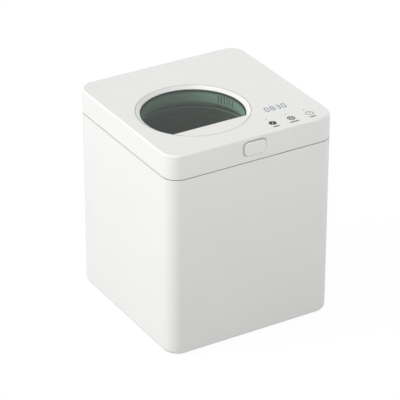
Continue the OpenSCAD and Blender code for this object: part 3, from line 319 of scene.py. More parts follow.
def surfacePattern(tree, spec, seed):
    # gives the relief, a soft patch for colour and shine, and flecks
    if spec["kind"] == "grain":
        pattern = useGroup(tree, grainGroup, -700, 100, Scale=spec["scale"], Patch_Scale=spec["patch"],
                           Seed=seed)
        return [pattern.outputs[key] for key in ("Height", "Patch", "Fleck")]
    if spec["kind"] == "brushed":
        pattern = useGroup(tree, brushedGroup, -700, 100, Scale=spec["scale"], Stretch=spec["stretch"],
                           Seed=seed)
        return [pattern.outputs[key] for key in ("Height", "Streak", "Streak")]
    pattern = useGroup(tree, spunGroup, -700, 100, Rings=spec["scale"], Centre=axisFoot, Seed=seed)
    return [pattern.outputs[key] for key in ("Height", "Band", "Band")]


def surfaceColour(tree, spec, soft, fleck, edgeMask):
    base = spec["colour"]
    colour = mixColour(tree, remap(tree, soft, 0.0, 1.0, -450, 250), base, spec["tint"], -200, 250)
    if "fleckColour" in spec:
        spots = remap(tree, fleck, 0.0, 1.0, -450, 450, *spec["fleckRange"])
        colour = mixColour(tree, spots, colour, spec["fleckColour"], 0, 350)
    colour = mixColour(tree, edgeMask, colour, spec.get("edgeColour", base), 200, 250)
    # painted shade in seams and hollows: the colour darkens towards a dark copy of the base colour
    if "crevice" in spec:
        shade = useGroup(tree, creviceGroup, 0, 500, Reach=spec["crevice"] * mm, Power=spec["deep"])
        dark = [value * spec["creviceShare"] for value in base]
        colour = mixColour(tree, shade.outputs["Shade"], colour, dark, 300, 400)
    # painted shade line where the lid meets the window frame
    if "groove" in spec:
        ring, width, depth = spec["groove"]
        line = useGroup(tree, grooveGroup, 0, 700, Radius=ring * mm, Width=width * mm, Centre=axisFoot)
        part = mathNode(tree, "MULTIPLY", line.outputs["Mask"], depth, 200, 700)
        colour = mixColour(tree, part, colour, [value * spec["grooveShare"] for value in base], 400, 600)
    return colour


def makeMaterial(name, given):
    spec = {**everyFinish, **given}
    material = bpy.data.materials.new(name)
    material.use_nodes = True
    tree = material.node_tree
    shader = tree.nodes["Principled BSDF"]
    shader.location = (500, 0)
    setInputs(shader, Metallic=spec["metal"], IOR=spec["ior"])
    if "coat" in spec:
        setInputs(shader, Coat_Weight=spec["coat"], Coat_Roughness=spec["coatRough"])
    if "subsurface" in spec:
        setInputs(shader, Subsurface_Weight=spec["subsurface"], Subsurface_Scale=spec["subsurfaceScale"],
                  Subsurface_Radius=spec["subsurfaceRadius"])
    seed = float(sum(map(ord, name)) % 97)  # each finish has its own, which stays the same
    height, soft, fleck = surfacePattern(tree, spec, seed)
    edge = useGroup(tree, edgeGroup, -700, -250, Radius=spec["edge"] * mm, Wear=spec["wear"])
    bump = addNode(tree, "ShaderNodeBump", 200, -350)
    setInputs(bump, Strength=spec["bump"], Distance=spec["relief"] * mm)
    link(tree,
         (surfaceColour(tree, spec, soft, fleck, edge.outputs["Mask"]), shader.inputs["Base Color"]),
         (remap(tree, soft, *spec["rough"], 100, -50), shader.inputs["Roughness"]),
         (height, bump.inputs["Height"]),
         (edge.outputs["Normal"], bump.inputs["Normal"]),
         (bump.outputs["Normal"], shader.inputs["Normal"]))
    return material


# what a finish has unless it says otherwise: edge, relief and crevice are in millimetres, and scale and
# patch count the grains and the patches in a metre
# crevice, deep and creviceShare set the painted shade in seams and hollows: its reach, how fast it darkens,
# and the share of the colour left at its darkest
everyFinish = dict(kind="grain", metal=0.0, ior=1.46, patch=14.0, stretch=(0.02, 1.0, 1.0), edge=0.4,
                   wear=1.0, relief=0.04, fleckRange=(0.62, 0.7), coatRough=0.1, subsurfaceScale=0.002,
                   subsurfaceRadius=(1.0, 0.8, 0.6), deep=1.6, creviceShare=0.08, grooveShare=0.1)
# groove is a painted shade line where the lid and the window frame meet, standing in for the shadow in
# their fine joint: its radius, its width and its strength
finishes = {
    "lid_white": dict(colour=(0.845, 0.846, 0.83), tint=(0.83, 0.832, 0.813), rough=(0.3, 0.36),
                      scale=2400, bump=0.16, edge=1.1, wear=0.1, coat=0.12, coatRough=0.2, crevice=2.4,
                      deep=2.8, groove=(81.55, 0.8, 0.5)),
    "button_white": dict(colour=(0.85, 0.851, 0.836), tint=(0.835, 0.837, 0.82), rough=(0.28, 0.34),
                         scale=2400, bump=0.14, edge=1.0, wear=0.1, coat=0.15, coatRough=0.18),
    "housing_white": dict(colour=(0.845, 0.846, 0.83), tint=(0.83, 0.832, 0.813), rough=(0.3, 0.36),
                          scale=2400, bump=0.16, edge=0.7, wear=0.1, coat=0.12, coatRough=0.2,
                          crevice=3.8, deep=3.4),
    "deck_white": dict(colour=(0.8, 0.802, 0.79), tint=(0.77, 0.773, 0.76), rough=(0.45, 0.56),
                       scale=1700, bump=0.3, crevice=3.0),
    "liner_white": dict(colour=(0.89, 0.905, 0.91), tint=(0.87, 0.886, 0.892), rough=(0.42, 0.52),
                        scale=1900, bump=0.25, edge=0.5, crevice=4.5, deep=3.4),
    "rubber_black": dict(colour=(0.028, 0.028, 0.03), tint=(0.045, 0.045, 0.047), rough=(0.62, 0.8),
                         scale=1200, bump=0.45, edgeColour=(0.08, 0.08, 0.08)),
    "silicone_grey": dict(colour=(0.085, 0.09, 0.09), tint=(0.07, 0.075, 0.075), rough=(0.5, 0.62),
                          scale=1500, bump=0.25, subsurface=0.08),
    "screw_steel": dict(kind="brushed", colour=(0.62, 0.62, 0.63), tint=(0.5, 0.5, 0.52), metal=1.0,
                        rough=(0.22, 0.38), scale=1500, bump=0.25, edgeColour=(0.8, 0.8, 0.8)),
    "well_aluminium": dict(kind="spun", colour=(0.66, 0.67, 0.68), tint=(0.54, 0.55, 0.57), metal=1.0,
                           rough=(0.3, 0.46), scale=1300, bump=0.3, edgeColour=(0.82, 0.82, 0.83)),
    "heater_mica": dict(colour=(0.42, 0.37, 0.29), tint=(0.56, 0.52, 0.44), rough=(0.35, 0.6), scale=420,
                        bump=0.5, fleckColour=(0.74, 0.7, 0.6), coat=0.2),
    "sleeve_felt": dict(colour=(0.72, 0.66, 0.52), tint=(0.8, 0.76, 0.64), rough=(0.85, 0.97), scale=700,
                        bump=0.9, relief=0.3, fleckColour=(0.5, 0.44, 0.34)),
    "gearbox_grey": dict(colour=(0.2, 0.21, 0.22), tint=(0.26, 0.27, 0.28), rough=(0.45, 0.62), scale=900,
                         bump=0.5, edgeColour=(0.4, 0.4, 0.41), fleckColour=(0.3, 0.3, 0.3)),
    "gear_nylon": dict(colour=(0.78, 0.75, 0.66), tint=(0.7, 0.67, 0.57), rough=(0.34, 0.46), scale=1200,
                       bump=0.2, subsurface=0.1, edgeColour=(0.88, 0.86, 0.8)),
    "motor_steel": dict(kind="brushed", colour=(0.2, 0.2, 0.21), tint=(0.3, 0.3, 0.31), metal=0.8,
                        rough=(0.28, 0.45), stretch=(1.0, 1.0, 0.03), scale=800, bump=0.3,
                        edgeColour=(0.5, 0.5, 0.5)),
    "black_plastic": dict(colour=(0.024, 0.025, 0.027), tint=(0.036, 0.037, 0.04), rough=(0.4, 0.55),
                          scale=1900, bump=0.35, edgeColour=(0.1, 0.1, 0.1)),
    "board_green": dict(colour=(0.02, 0.12, 0.055), tint=(0.03, 0.17, 0.08), rough=(0.22, 0.34), scale=500,
                        bump=0.15, coat=0.5, fleckColour=(0.35, 0.33, 0.2), fleckRange=(0.66, 0.7)),
    "bucket_coating": dict(kind="spun", colour=(0.086, 0.092, 0.066), tint=(0.108, 0.115, 0.084),
                           metal=0.1, rough=(0.46, 0.6), scale=700, bump=0.2, wear=0.3,
                           edgeColour=(0.14, 0.14, 0.12)),
    "bush_brass": dict(kind="spun", colour=(0.68, 0.48, 0.2), tint=(0.55, 0.38, 0.15), metal=1.0,
                       rough=(0.22, 0.4), scale=1500, bump=0.2),
    "stirrer_cast": dict(colour=(0.5, 0.51, 0.52), tint=(0.4, 0.41, 0.42), metal=0.9, rough=(0.34, 0.52),
                         scale=520, bump=0.5, relief=0.12, edgeColour=(0.78, 0.78, 0.78)),
    "carbon_black": dict(colour=(0.018, 0.018, 0.018), tint=(0.04, 0.04, 0.042), rough=(0.7, 0.95),
                         scale=300, bump=1.0, relief=0.8, fleckColour=(0.09, 0.09, 0.09)),
}
materials = {name: makeMaterial(name, spec) for name, spec in finishes.items()}


def makeGlass(name, spec):
    material = bpy.data.materials.new(name)
    material.use_nodes = True
    tree = material.node_tree
    shader = tree.nodes["Principled BSDF"]
    setInputs(shader, Metallic=0.0, Transmission_Weight=1.0, IOR=spec["ior"],
              Specular_IOR_Level=spec["shine"])
    pattern = useGroup(tree, grainGroup, -700, 100, Scale=spec["scale"], Patch_Scale=spec["patch"],
                       Seed=spec["seed"])
    patch = remap(tree, pattern.outputs["Patch"], 0.0, 1.0, -450, 250)
    # shadow rays pass straight through, so that light reaches the bucket
    clear = addNode(tree, "ShaderNodeBsdfTransparent", 300, -200)
    clear.inputs[0].default_value = (*spec["pass"], 1.0)
    ray = addNode(tree, "ShaderNodeLightPath", 300, 300)
    pick = addNode(tree, "ShaderNodeMixShader", 600, 0)
    link(tree,
         (mixColour(tree, patch, spec["colour"], spec["tint"], -200, 250), shader.inputs["Base Color"]),
         (remap(tree, pattern.outputs["Fleck"], *spec["rough"], -200, -50), shader.inputs["Roughness"]),
         (ray.outputs["Is Shadow Ray"], pick.inputs[0]),
         (shader.outputs[0], pick.inputs[1]),
         (clear.outputs[0], pick.inputs[2]),
         (pick.outputs[0], tree.nodes["Material Output"].inputs["Surface"]))
    return material


glassLook = {"colour": (0.44, 0.585, 0.505), "tint": (0.425, 0.57, 0.49), "rough": (0.0, 0.012), "ior": 1.5,
             "shine": 0.2, "scale": 400.0, "patch": 9.0, "seed": 3.0, "pass": (0.6, 0.66, 0.63)}
materials["window_glass"] = makeGlass("window_glass", glassLook)

finishOf = {entry["node"]: entry["material_slot"] for entry in frame["record"]["subparts"]}
# four nodes differ a little from the finish that their slot names: the lid and the window frame carry the
# painted shade line of their joint, the button has no painted crevice shade, and the liner's painted
# crevice shade is deeper and reaches further
finishOf.update({"lid_shell": "lid_white", "window_frame": "lid_white", "latch_button": "button_white",
                 "lid_liner": "liner_white"})
for name, thing in nodes.items():
    for i in range(len(thing.data.materials)):
        thing.data.materials[i] = materials[finishOf[name]]
print("materials placed on", len(nodes), "nodes")


# flat marks on the lid

def inkMaterial(name, colour, glow=0.0):
    material = bpy.data.materials.new(name)
    material.use_nodes = True
    tree = material.node_tree
    shader = tree.nodes["Principled BSDF"]
    pattern = useGroup(tree, grainGroup, -700, 100, Scale=inkLook["scale"], Patch_Scale=inkLook["patch"],
                       Seed=inkLook["seed"])
    tint = tuple(value * inkLook["lighter"] + inkLook["lift"] for value in colour)
    patch = remap(tree, pattern.outputs["Patch"], 0.0, 1.0, -450, 200)
    shade = mixColour(tree, patch, colour, tint, -200, 200)
    bump = addNode(tree, "ShaderNodeBump", 0, -300)
    setInputs(bump, Strength=inkLook["bump"], Distance=inkLook["relief"] * mm)
    link(tree,
         (shade, shader.inputs["Base Color"]),
         (remap(tree, pattern.outputs["Fleck"], *inkLook["rough"], -200, -50), shader.inputs["Roughness"]),
         (pattern.outputs["Height"], bump.inputs["Height"]),
         (bump.outputs["Normal"], shader.inputs["Normal"]))
    if glow:
        tree.links.new(shade, shader.inputs["Emission Color"])
        setInputs(shader, Emission_Strength=glow)
    return material


inkLook = {"scale": 1800.0, "patch": 60.0, "seed": 11.0, "lighter": 1.25, "lift": 0.01, "bump": 0.1,
           "relief": 0.02, "rough": (0.4, 0.55)}
inks = {
    "darkInk": inkMaterial("darkInk", (0.03, 0.031, 0.033)),
    "clockInk": inkMaterial("clockInk", (0.05, 0.052, 0.055)),
    "greyInk": inkMaterial("greyInk", (0.1, 0.103, 0.107)),
    "displayInk": inkMaterial("displayInk", (0.2, 0.25, 0.315), 0.03),
}
markSize = {"proud": 0.012, "thick": 0.05}  # how far a mark stands above the lid's top, and its thickness


def disc(cx, cy, r, sides):
    turns = [fullTurn * i / sides for i in range(sides)]
    return [(cx + r * math.cos(turn), cy + r * math.sin(turn)) for turn in turns]


def bar(cx, cy, w, h):
    return [(cx - w / 2, cy - h / 2), (cx + w / 2, cy - h / 2),
            (cx + w / 2, cy + h / 2), (cx - w / 2, cy + h / 2)]


def joinLoops(mesh, pairs):
    # a strip of faces between each pair of loops
    for a, b in pairs:
        for i in range(len(a)):
            j = (i + 1) % len(a)
            mesh.faces.new((a[i], a[j], b[j], b[i]))


def flatPiece(name, outlines, ink, rings=(), body="lid"):
    high = (lidTop + markSize["proud"]) * mm
    low = high - markSize["thick"] * mm
    mesh = bmesh.new()

    def loopAt(outline, z):
        return [mesh.verts.new((x * mm, y * mm, z)) for x, y in outline]

    for cx, cy, inner, outer, sides in rings:
        corners = ((outer, high), (inner, high), (inner, low), (outer, low))
        loops = [loopAt(disc(cx, cy, r, sides), z) for r, z in corners]
        joinLoops(mesh, zip(loops, loops[1:] + loops[:1]))
    for outline in outlines:
        top, foot = loopAt(outline, high), loopAt(outline, low)
        mesh.faces.new(top)
        mesh.faces.new(foot[::-1])
        joinLoops(mesh, [(foot, top)])
    bmesh.ops.recalc_face_normals(mesh, faces=mesh.faces)
    data = bpy.data.meshes.new(name)
    mesh.to_mesh(data)
    mesh.free()
    piece = bpy.data.objects.new(name, data)
    scene.collection.objects.link(piece)
    data.materials.append(inks[ink])
    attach(piece, body)


# plain digits of up to seven bars each, over the display
display = {"digits": "0830", "digitW": 7.0, "digitH": 14.0, "pitch": 9.3, "barW": 2.2, "gap": 0.25,
           "lean": 0.12, "dotApart": 5.2, "dot": 0.6, "dotSides": 12}
displayX, displayY = middleOf("display_module")[:2]
segments = {"0": "abcdef", "1": "bc", "2": "abged", "3": "abgcd", "4": "fgbc", "5": "afgcd", "6": "afgedc",
            "7": "abc", "8": "abcdefg", "9": "abcdfg"}


def digitBars(kind, cx, cy, spec):
    half, t, gap = spec["digitW"] / 2, spec["barW"], spec["gap"]
    rise = spec["digitH"] / 2 - t / 2
    side = half - t / 2
    across = [(gap - side, 0), (gap - side + t / 2, t / 2), (side - t / 2 - gap, t / 2),
              (side - gap, 0), (side - t / 2 - gap, -t / 2), (gap - side + t / 2, -t / 2)]
    upright = [(0, gap), (t / 2, gap + t / 2), (t / 2, rise - gap - t / 2),
               (0, rise - gap), (-t / 2, rise - gap - t / 2), (-t / 2, gap + t / 2)]
    places = {"a": (across, 0, rise), "g": (across, 0, 0), "d": (across, 0, -rise),
              "b": (upright, side, 0), "f": (upright, -side, 0),
              "c": (upright, side, -rise), "e": (upright, -side, -rise)}
    bars = []
    for letter in segments[kind]:
        shape, dx, dy = places[letter]
        bars.append([(cx + x + dx + (y + dy) * spec["lean"], cy + y + dy) for x, y in shape])
    return bars


digitShapes = []
for i, kind in enumerate(display["digits"]):
    digitShapes += digitBars(kind, displayX + (i - 1.5) * display["pitch"], displayY, display)
for dy in (-display["dotApart"] / 2, display["dotApart"] / 2):
    digitShapes.append(disc(displayX + dy * display["lean"], displayY + dy, display["dot"],
                            display["dotSides"]))
flatPiece("displayDigits", digitShapes, "displayInk")

# three plain signs over the keys: a leaf in two halves, a fan and a clock
signs = {"y": -112.2, "r": 6.0, "sides": 40}
leaf = {"x": 42.9, "slit": 0.35, "wide": 5.3, "steps": 14, "lean": -24.0}
# a blade's corners: how far out, and the angle in radians
fan = {"x": 73.4, "line": 1.5, "blades": 4, "turn": 20.0,
       "blade": [(0.7, 0.0), (2.0, 0.7), (3.4, 0.85), (4.2, 0.5), (4.2, -0.3), (2.4, -0.3)]}
clock = {"x": 104.0, "line": 1.0,
         "hands": [(-0.5, 3.4), (-0.5, -0.5), (2.9, -0.5), (2.9, 0.5), (0.5, 0.5), (0.5, 3.4)]}


def leafHalf(side):
    turns = [math.pi * step / leaf["steps"] for step in range(leaf["steps"] + 1)]
    rim = [(side * (leaf["slit"] + leaf["wide"] * math.sin(turn)), signs["r"] * math.cos(turn))
           for turn in turns]
    lean = math.radians(leaf["lean"])
    return [(leaf["x"] + x * math.cos(lean) - y * math.sin(lean),
             signs["y"] + x * math.sin(lean) + y * math.cos(lean)) for x, y in rim]


def fanBlade(number):
    turn = math.radians(360 / fan["blades"] * number + fan["turn"])
    return [(fan["x"] + r * math.cos(turn + angle), signs["y"] + r * math.sin(turn + angle))
            for r, angle in fan["blade"]]


def signRing(spec):
    return (spec["x"], signs["y"], signs["r"] - spec["line"], signs["r"], signs["sides"])


flatPiece("leafSign", [leafHalf(side) for side in (-1, 1)], "darkInk")
fanBlades = [fanBlade(number) for number in range(fan["blades"])]
flatPiece("fanSign", fanBlades, "darkInk", rings=[signRing(fan)])
clockHands = [(clock["x"] + x, signs["y"] + y) for x, y in clock["hands"]]
flatPiece("clockSign", [clockHands], "clockInk", rings=[signRing(clock)])

# rows of plain strokes under the keys
strokes = {"y": -123.3, "rows": [(42.6, 4), (72.0, 6), (102.8, 4)], "w": 2.1, "pitch": 2.5, "h": 3.0,
           "shift": 0.3}
strokeShapes = []
for cx, count in strokes["rows"]:
    for i in range(count):
        x = cx + (i - (count - 1) / 2) * strokes["pitch"]
        y = strokes["y"] + strokes["shift"] * (-1) ** i
        strokeShapes.append(bar(x, y, strokes["w"], strokes["h"]))
flatPiece("keyStrokes", strokeShapes, "darkInk")
lamps = {"places": [(41.2, -98.2), (72.5, -98.8), (102.3, -99.3)], "r": 1.0, "sides": 16}
flatPiece("keyLamps", [disc(x, y, lamps["r"], lamps["sides"]) for x, y in lamps["places"]], "greyInk")
print("lid marks made")


# screws, spring and carbon, set out by Geometry Nodes

def newLayout(name, sockets):
    tree = bpy.data.node_groups.new(name, "GeometryNodeTree")
    for socketName, kind in sockets:
        tree.interface.new_socket(name=socketName, in_out="INPUT", socket_type=kind)
    tree.interface.new_socket(name="Geometry", in_out="OUTPUT", socket_type="NodeSocketGeometry")
    return tree, addNode(tree, "NodeGroupInput", -1200), addNode(tree, "NodeGroupOutput", 1200)


def finishLayout(tree, start, end, geometry):
    real = addNode(tree, "GeometryNodeRealizeInstances", 800)
    paint = addNode(tree, "GeometryNodeSetMaterial", 1000)
    link(tree,
         (geometry, real.inputs[0]),
         (real.outputs[0], paint.inputs["Geometry"]),
         (start.outputs["Finish"], paint.inputs["Material"]),
         (paint.outputs[0], end.inputs[0]))


def randomVector(tree, start, low, high, number=0):
    # number keeps the draws of one tree apart
    y = -400 - 200 * number
    node = addNode(tree, "FunctionNodeRandomValue", -400, y, data_type="FLOAT_VECTOR")
    pair = [socket for socket in node.inputs if socket.name in ("Min", "Max") and socket.enabled]
    for socket, value in zip(pair, (low, high)):
        if hasattr(value, "is_output"):
            tree.links.new(value, socket)
        else:
            socket.default_value = value
    seed = mathNode(tree, "ADD", start.outputs["Seed"], number, -600, y)
    tree.links.new(seed, node.inputs["Seed"])
    return [socket for socket in node.outputs if socket.enabled][0]


def makeScrewLayout():
    tree, start, end = newLayout("screwCorners", [
        ("Screw", "NodeSocketObject"), ("Across", "NodeSocketFloat"), ("Deep", "NodeSocketFloat"),
        ("Height", "NodeSocketFloat"), ("Seed", "NodeSocketInt"), ("Finish", "NodeSocketMaterial")])
    corners = addNode(tree, "GeometryNodeMeshGrid", -900)
    setInputs(corners, Vertices_X=2, Vertices_Y=2)
    lift = addNode(tree, "ShaderNodeCombineXYZ", -900, -300)
    moved = addNode(tree, "GeometryNodeTransform", -600)
    source = addNode(tree, "GeometryNodeObjectInfo", -600, 300)
    turns = randomVector(tree, start, (0.0, 0.0, 0.0), (0.0, 0.0, anyTurn))
    placed = addNode(tree, "GeometryNodeInstanceOnPoints", 200)
    link(tree,
         (start.outputs["Across"], corners.inputs["Size X"]),
         (start.outputs["Deep"], corners.inputs["Size Y"]),
         (start.outputs["Height"], lift.inputs[2]),
         (corners.outputs["Mesh"], moved.inputs["Geometry"]),
         (lift.outputs[0], moved.inputs["Translation"]),
         (start.outputs["Screw"], source.inputs["Object"]),
         (moved.outputs[0], placed.inputs["Points"]),
         (source.outputs["Geometry"], placed.inputs["Instance"]),
         (turns, placed.inputs["Rotation"]))
    finishLayout(tree, start, end, placed.outputs[0])
    return tree


def makeGranuleLayout():
    tree, start, end = newLayout("granuleCells", [
        ("Columns", "NodeSocketInt"), ("Rows", "NodeSocketInt"), ("Across", "NodeSocketFloat"),
        ("Tall", "NodeSocketFloat"), ("Cell", "NodeSocketFloat"), ("Granule", "NodeSocketFloat"),
        ("Jitter", "NodeSocketVector"), ("Middle", "NodeSocketVector"), ("Apart", "NodeSocketVector"),
        ("Seed", "NodeSocketInt"), ("Finish", "NodeSocketMaterial")])
    # a grid of cells, each with four by four points
    cells = addNode(tree, "GeometryNodeMeshGrid", -900)
    few = addNode(tree, "GeometryNodeMeshGrid", -900, 300)
    setInputs(few, Vertices_X=4, Vertices_Y=4)
    spread = addNode(tree, "GeometryNodeInstanceOnPoints", -650)
    flat = addNode(tree, "GeometryNodeRealizeInstances", -500)
    # stood upright on one face of the cartridge, and repeated on the other
    upright = addNode(tree, "GeometryNodeTransform", -350)
    setInputs(upright, Rotation=(math.radians(90), 0.0, 0.0))
    second = addNode(tree, "GeometryNodeTransform", -200, -200)
    both = addNode(tree, "GeometryNodeJoinGeometry", -50)
    less = addNode(tree, "ShaderNodeVectorMath", -700, -700, operation="SCALE")
    setInputs(less, Scale=-1.0)
    shaken = addNode(tree, "GeometryNodeSetPosition", 100)
    grain = addNode(tree, "GeometryNodeMeshIcoSphere", 100, 300)
    setInputs(grain, Subdivisions=1)
    placed = addNode(tree, "GeometryNodeInstanceOnPoints", 400)
    jitter = randomVector(tree, start, less.outputs[0], start.outputs["Jitter"])
    turns = randomVector(tree, start, (0.0, 0.0, 0.0), (anyTurn, anyTurn, anyTurn), 1)
    sizes = randomVector(tree, start, *granuleShares, 2)
    link(tree,
         (start.outputs["Across"], cells.inputs["Size X"]),
         (start.outputs["Tall"], cells.inputs["Size Y"]),
         (start.outputs["Columns"], cells.inputs["Vertices X"]),
         (start.outputs["Rows"], cells.inputs["Vertices Y"]),
         (start.outputs["Cell"], few.inputs["Size X"]),
         (start.outputs["Cell"], few.inputs["Size Y"]),
         (cells.outputs["Mesh"], spread.inputs["Points"]),
         (few.outputs["Mesh"], spread.inputs["Instance"]),
         (spread.outputs[0], flat.inputs[0]),
         (flat.outputs[0], upright.inputs["Geometry"]),
         (start.outputs["Middle"], upright.inputs["Translation"]),
         (upright.outputs[0], second.inputs["Geometry"]),
         (start.outputs["Apart"], second.inputs["Translation"]),
         (upright.outputs[0], both.inputs[0]),
         (second.outputs[0], both.inputs[0]),
         (start.outputs["Jitter"], less.inputs[0]),
         (both.outputs[0], shaken.inputs["Geometry"]),
         (jitter, shaken.inputs["Offset"]),
         (start.outputs["Granule"], grain.inputs["Radius"]),
         (shaken.outputs[0], placed.inputs["Points"]),
         (grain.outputs["Mesh"], placed.inputs["Instance"]),
         (turns, placed.inputs["Rotation"]),
         (sizes, placed.inputs["Scale"]))
    finishLayout(tree, start, end, placed.outputs[0])
    return tree


def makeCoilLayout():
    tree, start, end = newLayout("coilSpring", [
        ("Turns", "NodeSocketFloat"), ("Coil", "NodeSocketFloat"), ("Wire", "NodeSocketFloat"),
        ("Height", "NodeSocketFloat"), ("Foot", "NodeSocketVector"), ("Finish", "NodeSocketMaterial")])
    path = addNode(tree, "GeometryNodeCurveSpiral", -900)
    setInputs(path, Resolution=28)
    profile = addNode(tree, "GeometryNodeCurvePrimitiveCircle", -900, -400)
    setInputs(profile, Resolution=10)
    wire = addNode(tree, "GeometryNodeCurveToMesh", -500)
    setInputs(wire, Fill_Caps=True)
    foot = addNode(tree, "GeometryNodeTransform", -200)
    link(tree,
         (start.outputs["Turns"], path.inputs["Rotations"]),
         (start.outputs["Coil"], path.inputs["Start Radius"]),
         (start.outputs["Coil"], path.inputs["End Radius"]),
         (start.outputs["Height"], path.inputs["Height"]),
         (start.outputs["Wire"], profile.inputs["Radius"]),
         (path.outputs["Curve"], wire.inputs["Curve"]),
         (profile.outputs["Curve"], wire.inputs["Profile Curve"]),
         (wire.outputs["Mesh"], foot.inputs["Geometry"]),
         (start.outputs["Foot"], foot.inputs["Translation"]))
    finishLayout(tree, start, end, foot.outputs[0])
    return tree


def fromLayout(name, tree, body, finish, **values):
    maker = bpy.data.objects.new(name + "Maker", bpy.data.meshes.new(name + "Maker"))
    scene.collection.objects.link(maker)
    layout = maker.modifiers.new("layout", "NODES")
    layout.node_group = tree
    values["finish"] = materials[finish]
    for item in tree.interface.items_tree:
        if item.in_out == "INPUT":
            layout[item.identifier] = values[item.name.lower()]
    data = bpy.data.meshes.new_from_object(maker.evaluated_get(bpy.context.evaluated_depsgraph_get()))
    maker.modifiers.remove(layout)
    bpy.data.objects.remove(maker)
    data.name = name
    # the new mesh has an empty first slot
    data.materials.clear()
    data.materials.append(materials[finish])
    data.polygons.foreach_set("material_index", [0] * len(data.polygons))
    piece = bpy.data.objects.new(name, data)
    scene.collection.objects.link(piece)
    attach(piece, body)
    return piece


def plusReach(angle, arm, half):
    # how far the edge of a plus-shaped recess lies from its middle
    fold = (angle + math.pi / 4) % (math.pi / 2) - math.pi / 4
    return min(arm / math.cos(fold), half / max(abs(math.sin(fold)), 0.0001))


def crossScrew(name, spec):
    # rings of points from the recess in the head, which faces down, to the tip
    corner = math.atan2(spec["half"], spec["arm"])
    between = [math.radians(angle) for angle in (30, 45, 60)]
    quarter = [-corner, -corner / 2, 0.0, corner / 2, corner, *between]
    angles = [math.pi / 2 * k + angle for k in range(4) for angle in quarter]
    high, head, shank, pitch = spec["headHigh"], spec["head"], spec["shank"], spec["pitch"]
    plus = [plusReach(angle, spec["arm"], spec["half"]) for angle in angles]
    rings = [[(reach * screwShape["recessFloor"], spec["recess"]) for reach in plus],
             [(reach, spec["dish"]) for reach in plus]]
    for share, z in headProfile:
        rings.append([(head * share, z * high) for _ in angles])
    rings.append([(shank * screwShape["neck"], high) for _ in angles])
    thread, perTurn = screwShape["thread"], screwShape["ringsPerTurn"]
    turns = (spec["long"] - high - spec["tip"]) / pitch
    for k in range(int(turns * perTurn) + 1):
        z = high + screwShape["neckLong"] + k * pitch / perTurn
        waves = [math.cos(angle - fullTurn * z / pitch) for angle in angles]
        rings.append([(shank * (1 - thread + thread * wave), z) for wave in waves])
    tipZ = spec["long"] - screwShape["tipPart"] * spec["tip"]
    rings.append([(shank * screwShape["tipWidth"], tipZ) for _ in angles])
    mesh = bmesh.new()
    layers = [[mesh.verts.new((r * mm * math.cos(angle), r * mm * math.sin(angle), z * mm))
               for angle, (r, z) in zip(angles, ring)] for ring in rings]
    first = mesh.verts.new((0, 0, spec["recess"] * mm))
    last = mesh.verts.new((0, 0, spec["long"] * mm))
    joinLoops(mesh, zip(layers, layers[1:]))
    for i in range(len(angles)):
        j = (i + 1) % len(angles)
        mesh.faces.new((first, layers[0][i], layers[0][j]))
        mesh.faces.new((layers[-1][i], last, layers[-1][j]))
    bmesh.ops.recalc_face_normals(mesh, faces=mesh.faces)
    data = bpy.data.meshes.new(name)
    mesh.to_mesh(data)
    mesh.free()
    return bpy.data.objects.new(name, data)


anyTurn = 6.283  # up to one whole turn, in radians
# each screw's sizes: the recess has four arms, each arm long and twice half wide, and its edge lies dish
# deep. The screws' places, length and lift come from their node's box
screwKinds = {
    "lidScrewSet": dict(node="lid_screws", body="lid", head=3.0, headHigh=0.98, shank=1.5, pitch=1.1,
                        tip=1.4, arm=1.7, half=0.36, recess=0.62, dish=0.02, seed=5),
    "baseScrewSet": dict(node="base_screws", body="housing", head=2.2, headHigh=1.2, shank=1.5, pitch=1.1,
                         tip=1.2, arm=1.35, half=0.32, recess=0.7, dish=0.02, seed=6),
}
# shares of the head's radius and height, from the flat round the recess to the shoulder
headProfile = ((0.7, 0.0), (0.92, 0.04), (0.985, 0.2), (1.0, 0.45), (1.0, 1.0))
screwShape = {"recessFloor": 0.55, "neck": 0.86, "neckLong": 0.1, "thread": 0.09, "ringsPerTurn": 7,
              "tipWidth": 0.55, "tipPart": 0.3}
screwLayout = makeScrewLayout()
for name, spec in screwKinds.items():
    low, high = boxOf(spec["node"])
    spec["long"] = high[2] - low[2]
    across, deep = (round(high[i] - low[i] - 2 * spec["head"], 1) for i in (0, 1))
    pattern = crossScrew(name + "Pattern", spec)
    placed = fromLayout(name, screwLayout, spec["body"], "screw_steel", screw=pattern, across=across * mm,
                        deep=deep * mm, height=low[2] * mm, seed=spec["seed"])
    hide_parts(spec["node"])
    bpy.data.objects.remove(pattern)

# the latch hook's return spring: the hook presses it down as the button goes in
spring = {"wire": 0.35, "turns": 6.0, "keep": 0.6}
springLow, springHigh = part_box("hook_spring")
wire = spring["wire"] * mm
coil = (springHigh.x - springLow.x) / 2 - wire
foot = Vector(((springLow.x + springHigh.x) / 2, (springLow.y + springHigh.y) / 2, springLow.z + wire))
placed = fromLayout("hookSpringCoil", makeCoilLayout(), "lid", "screw_steel", turns=spring["turns"],
                    coil=coil, wire=wire, height=springHigh.z - springLow.z - 2 * wire, foot=foot)
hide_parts("hook_spring")
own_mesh(placed)

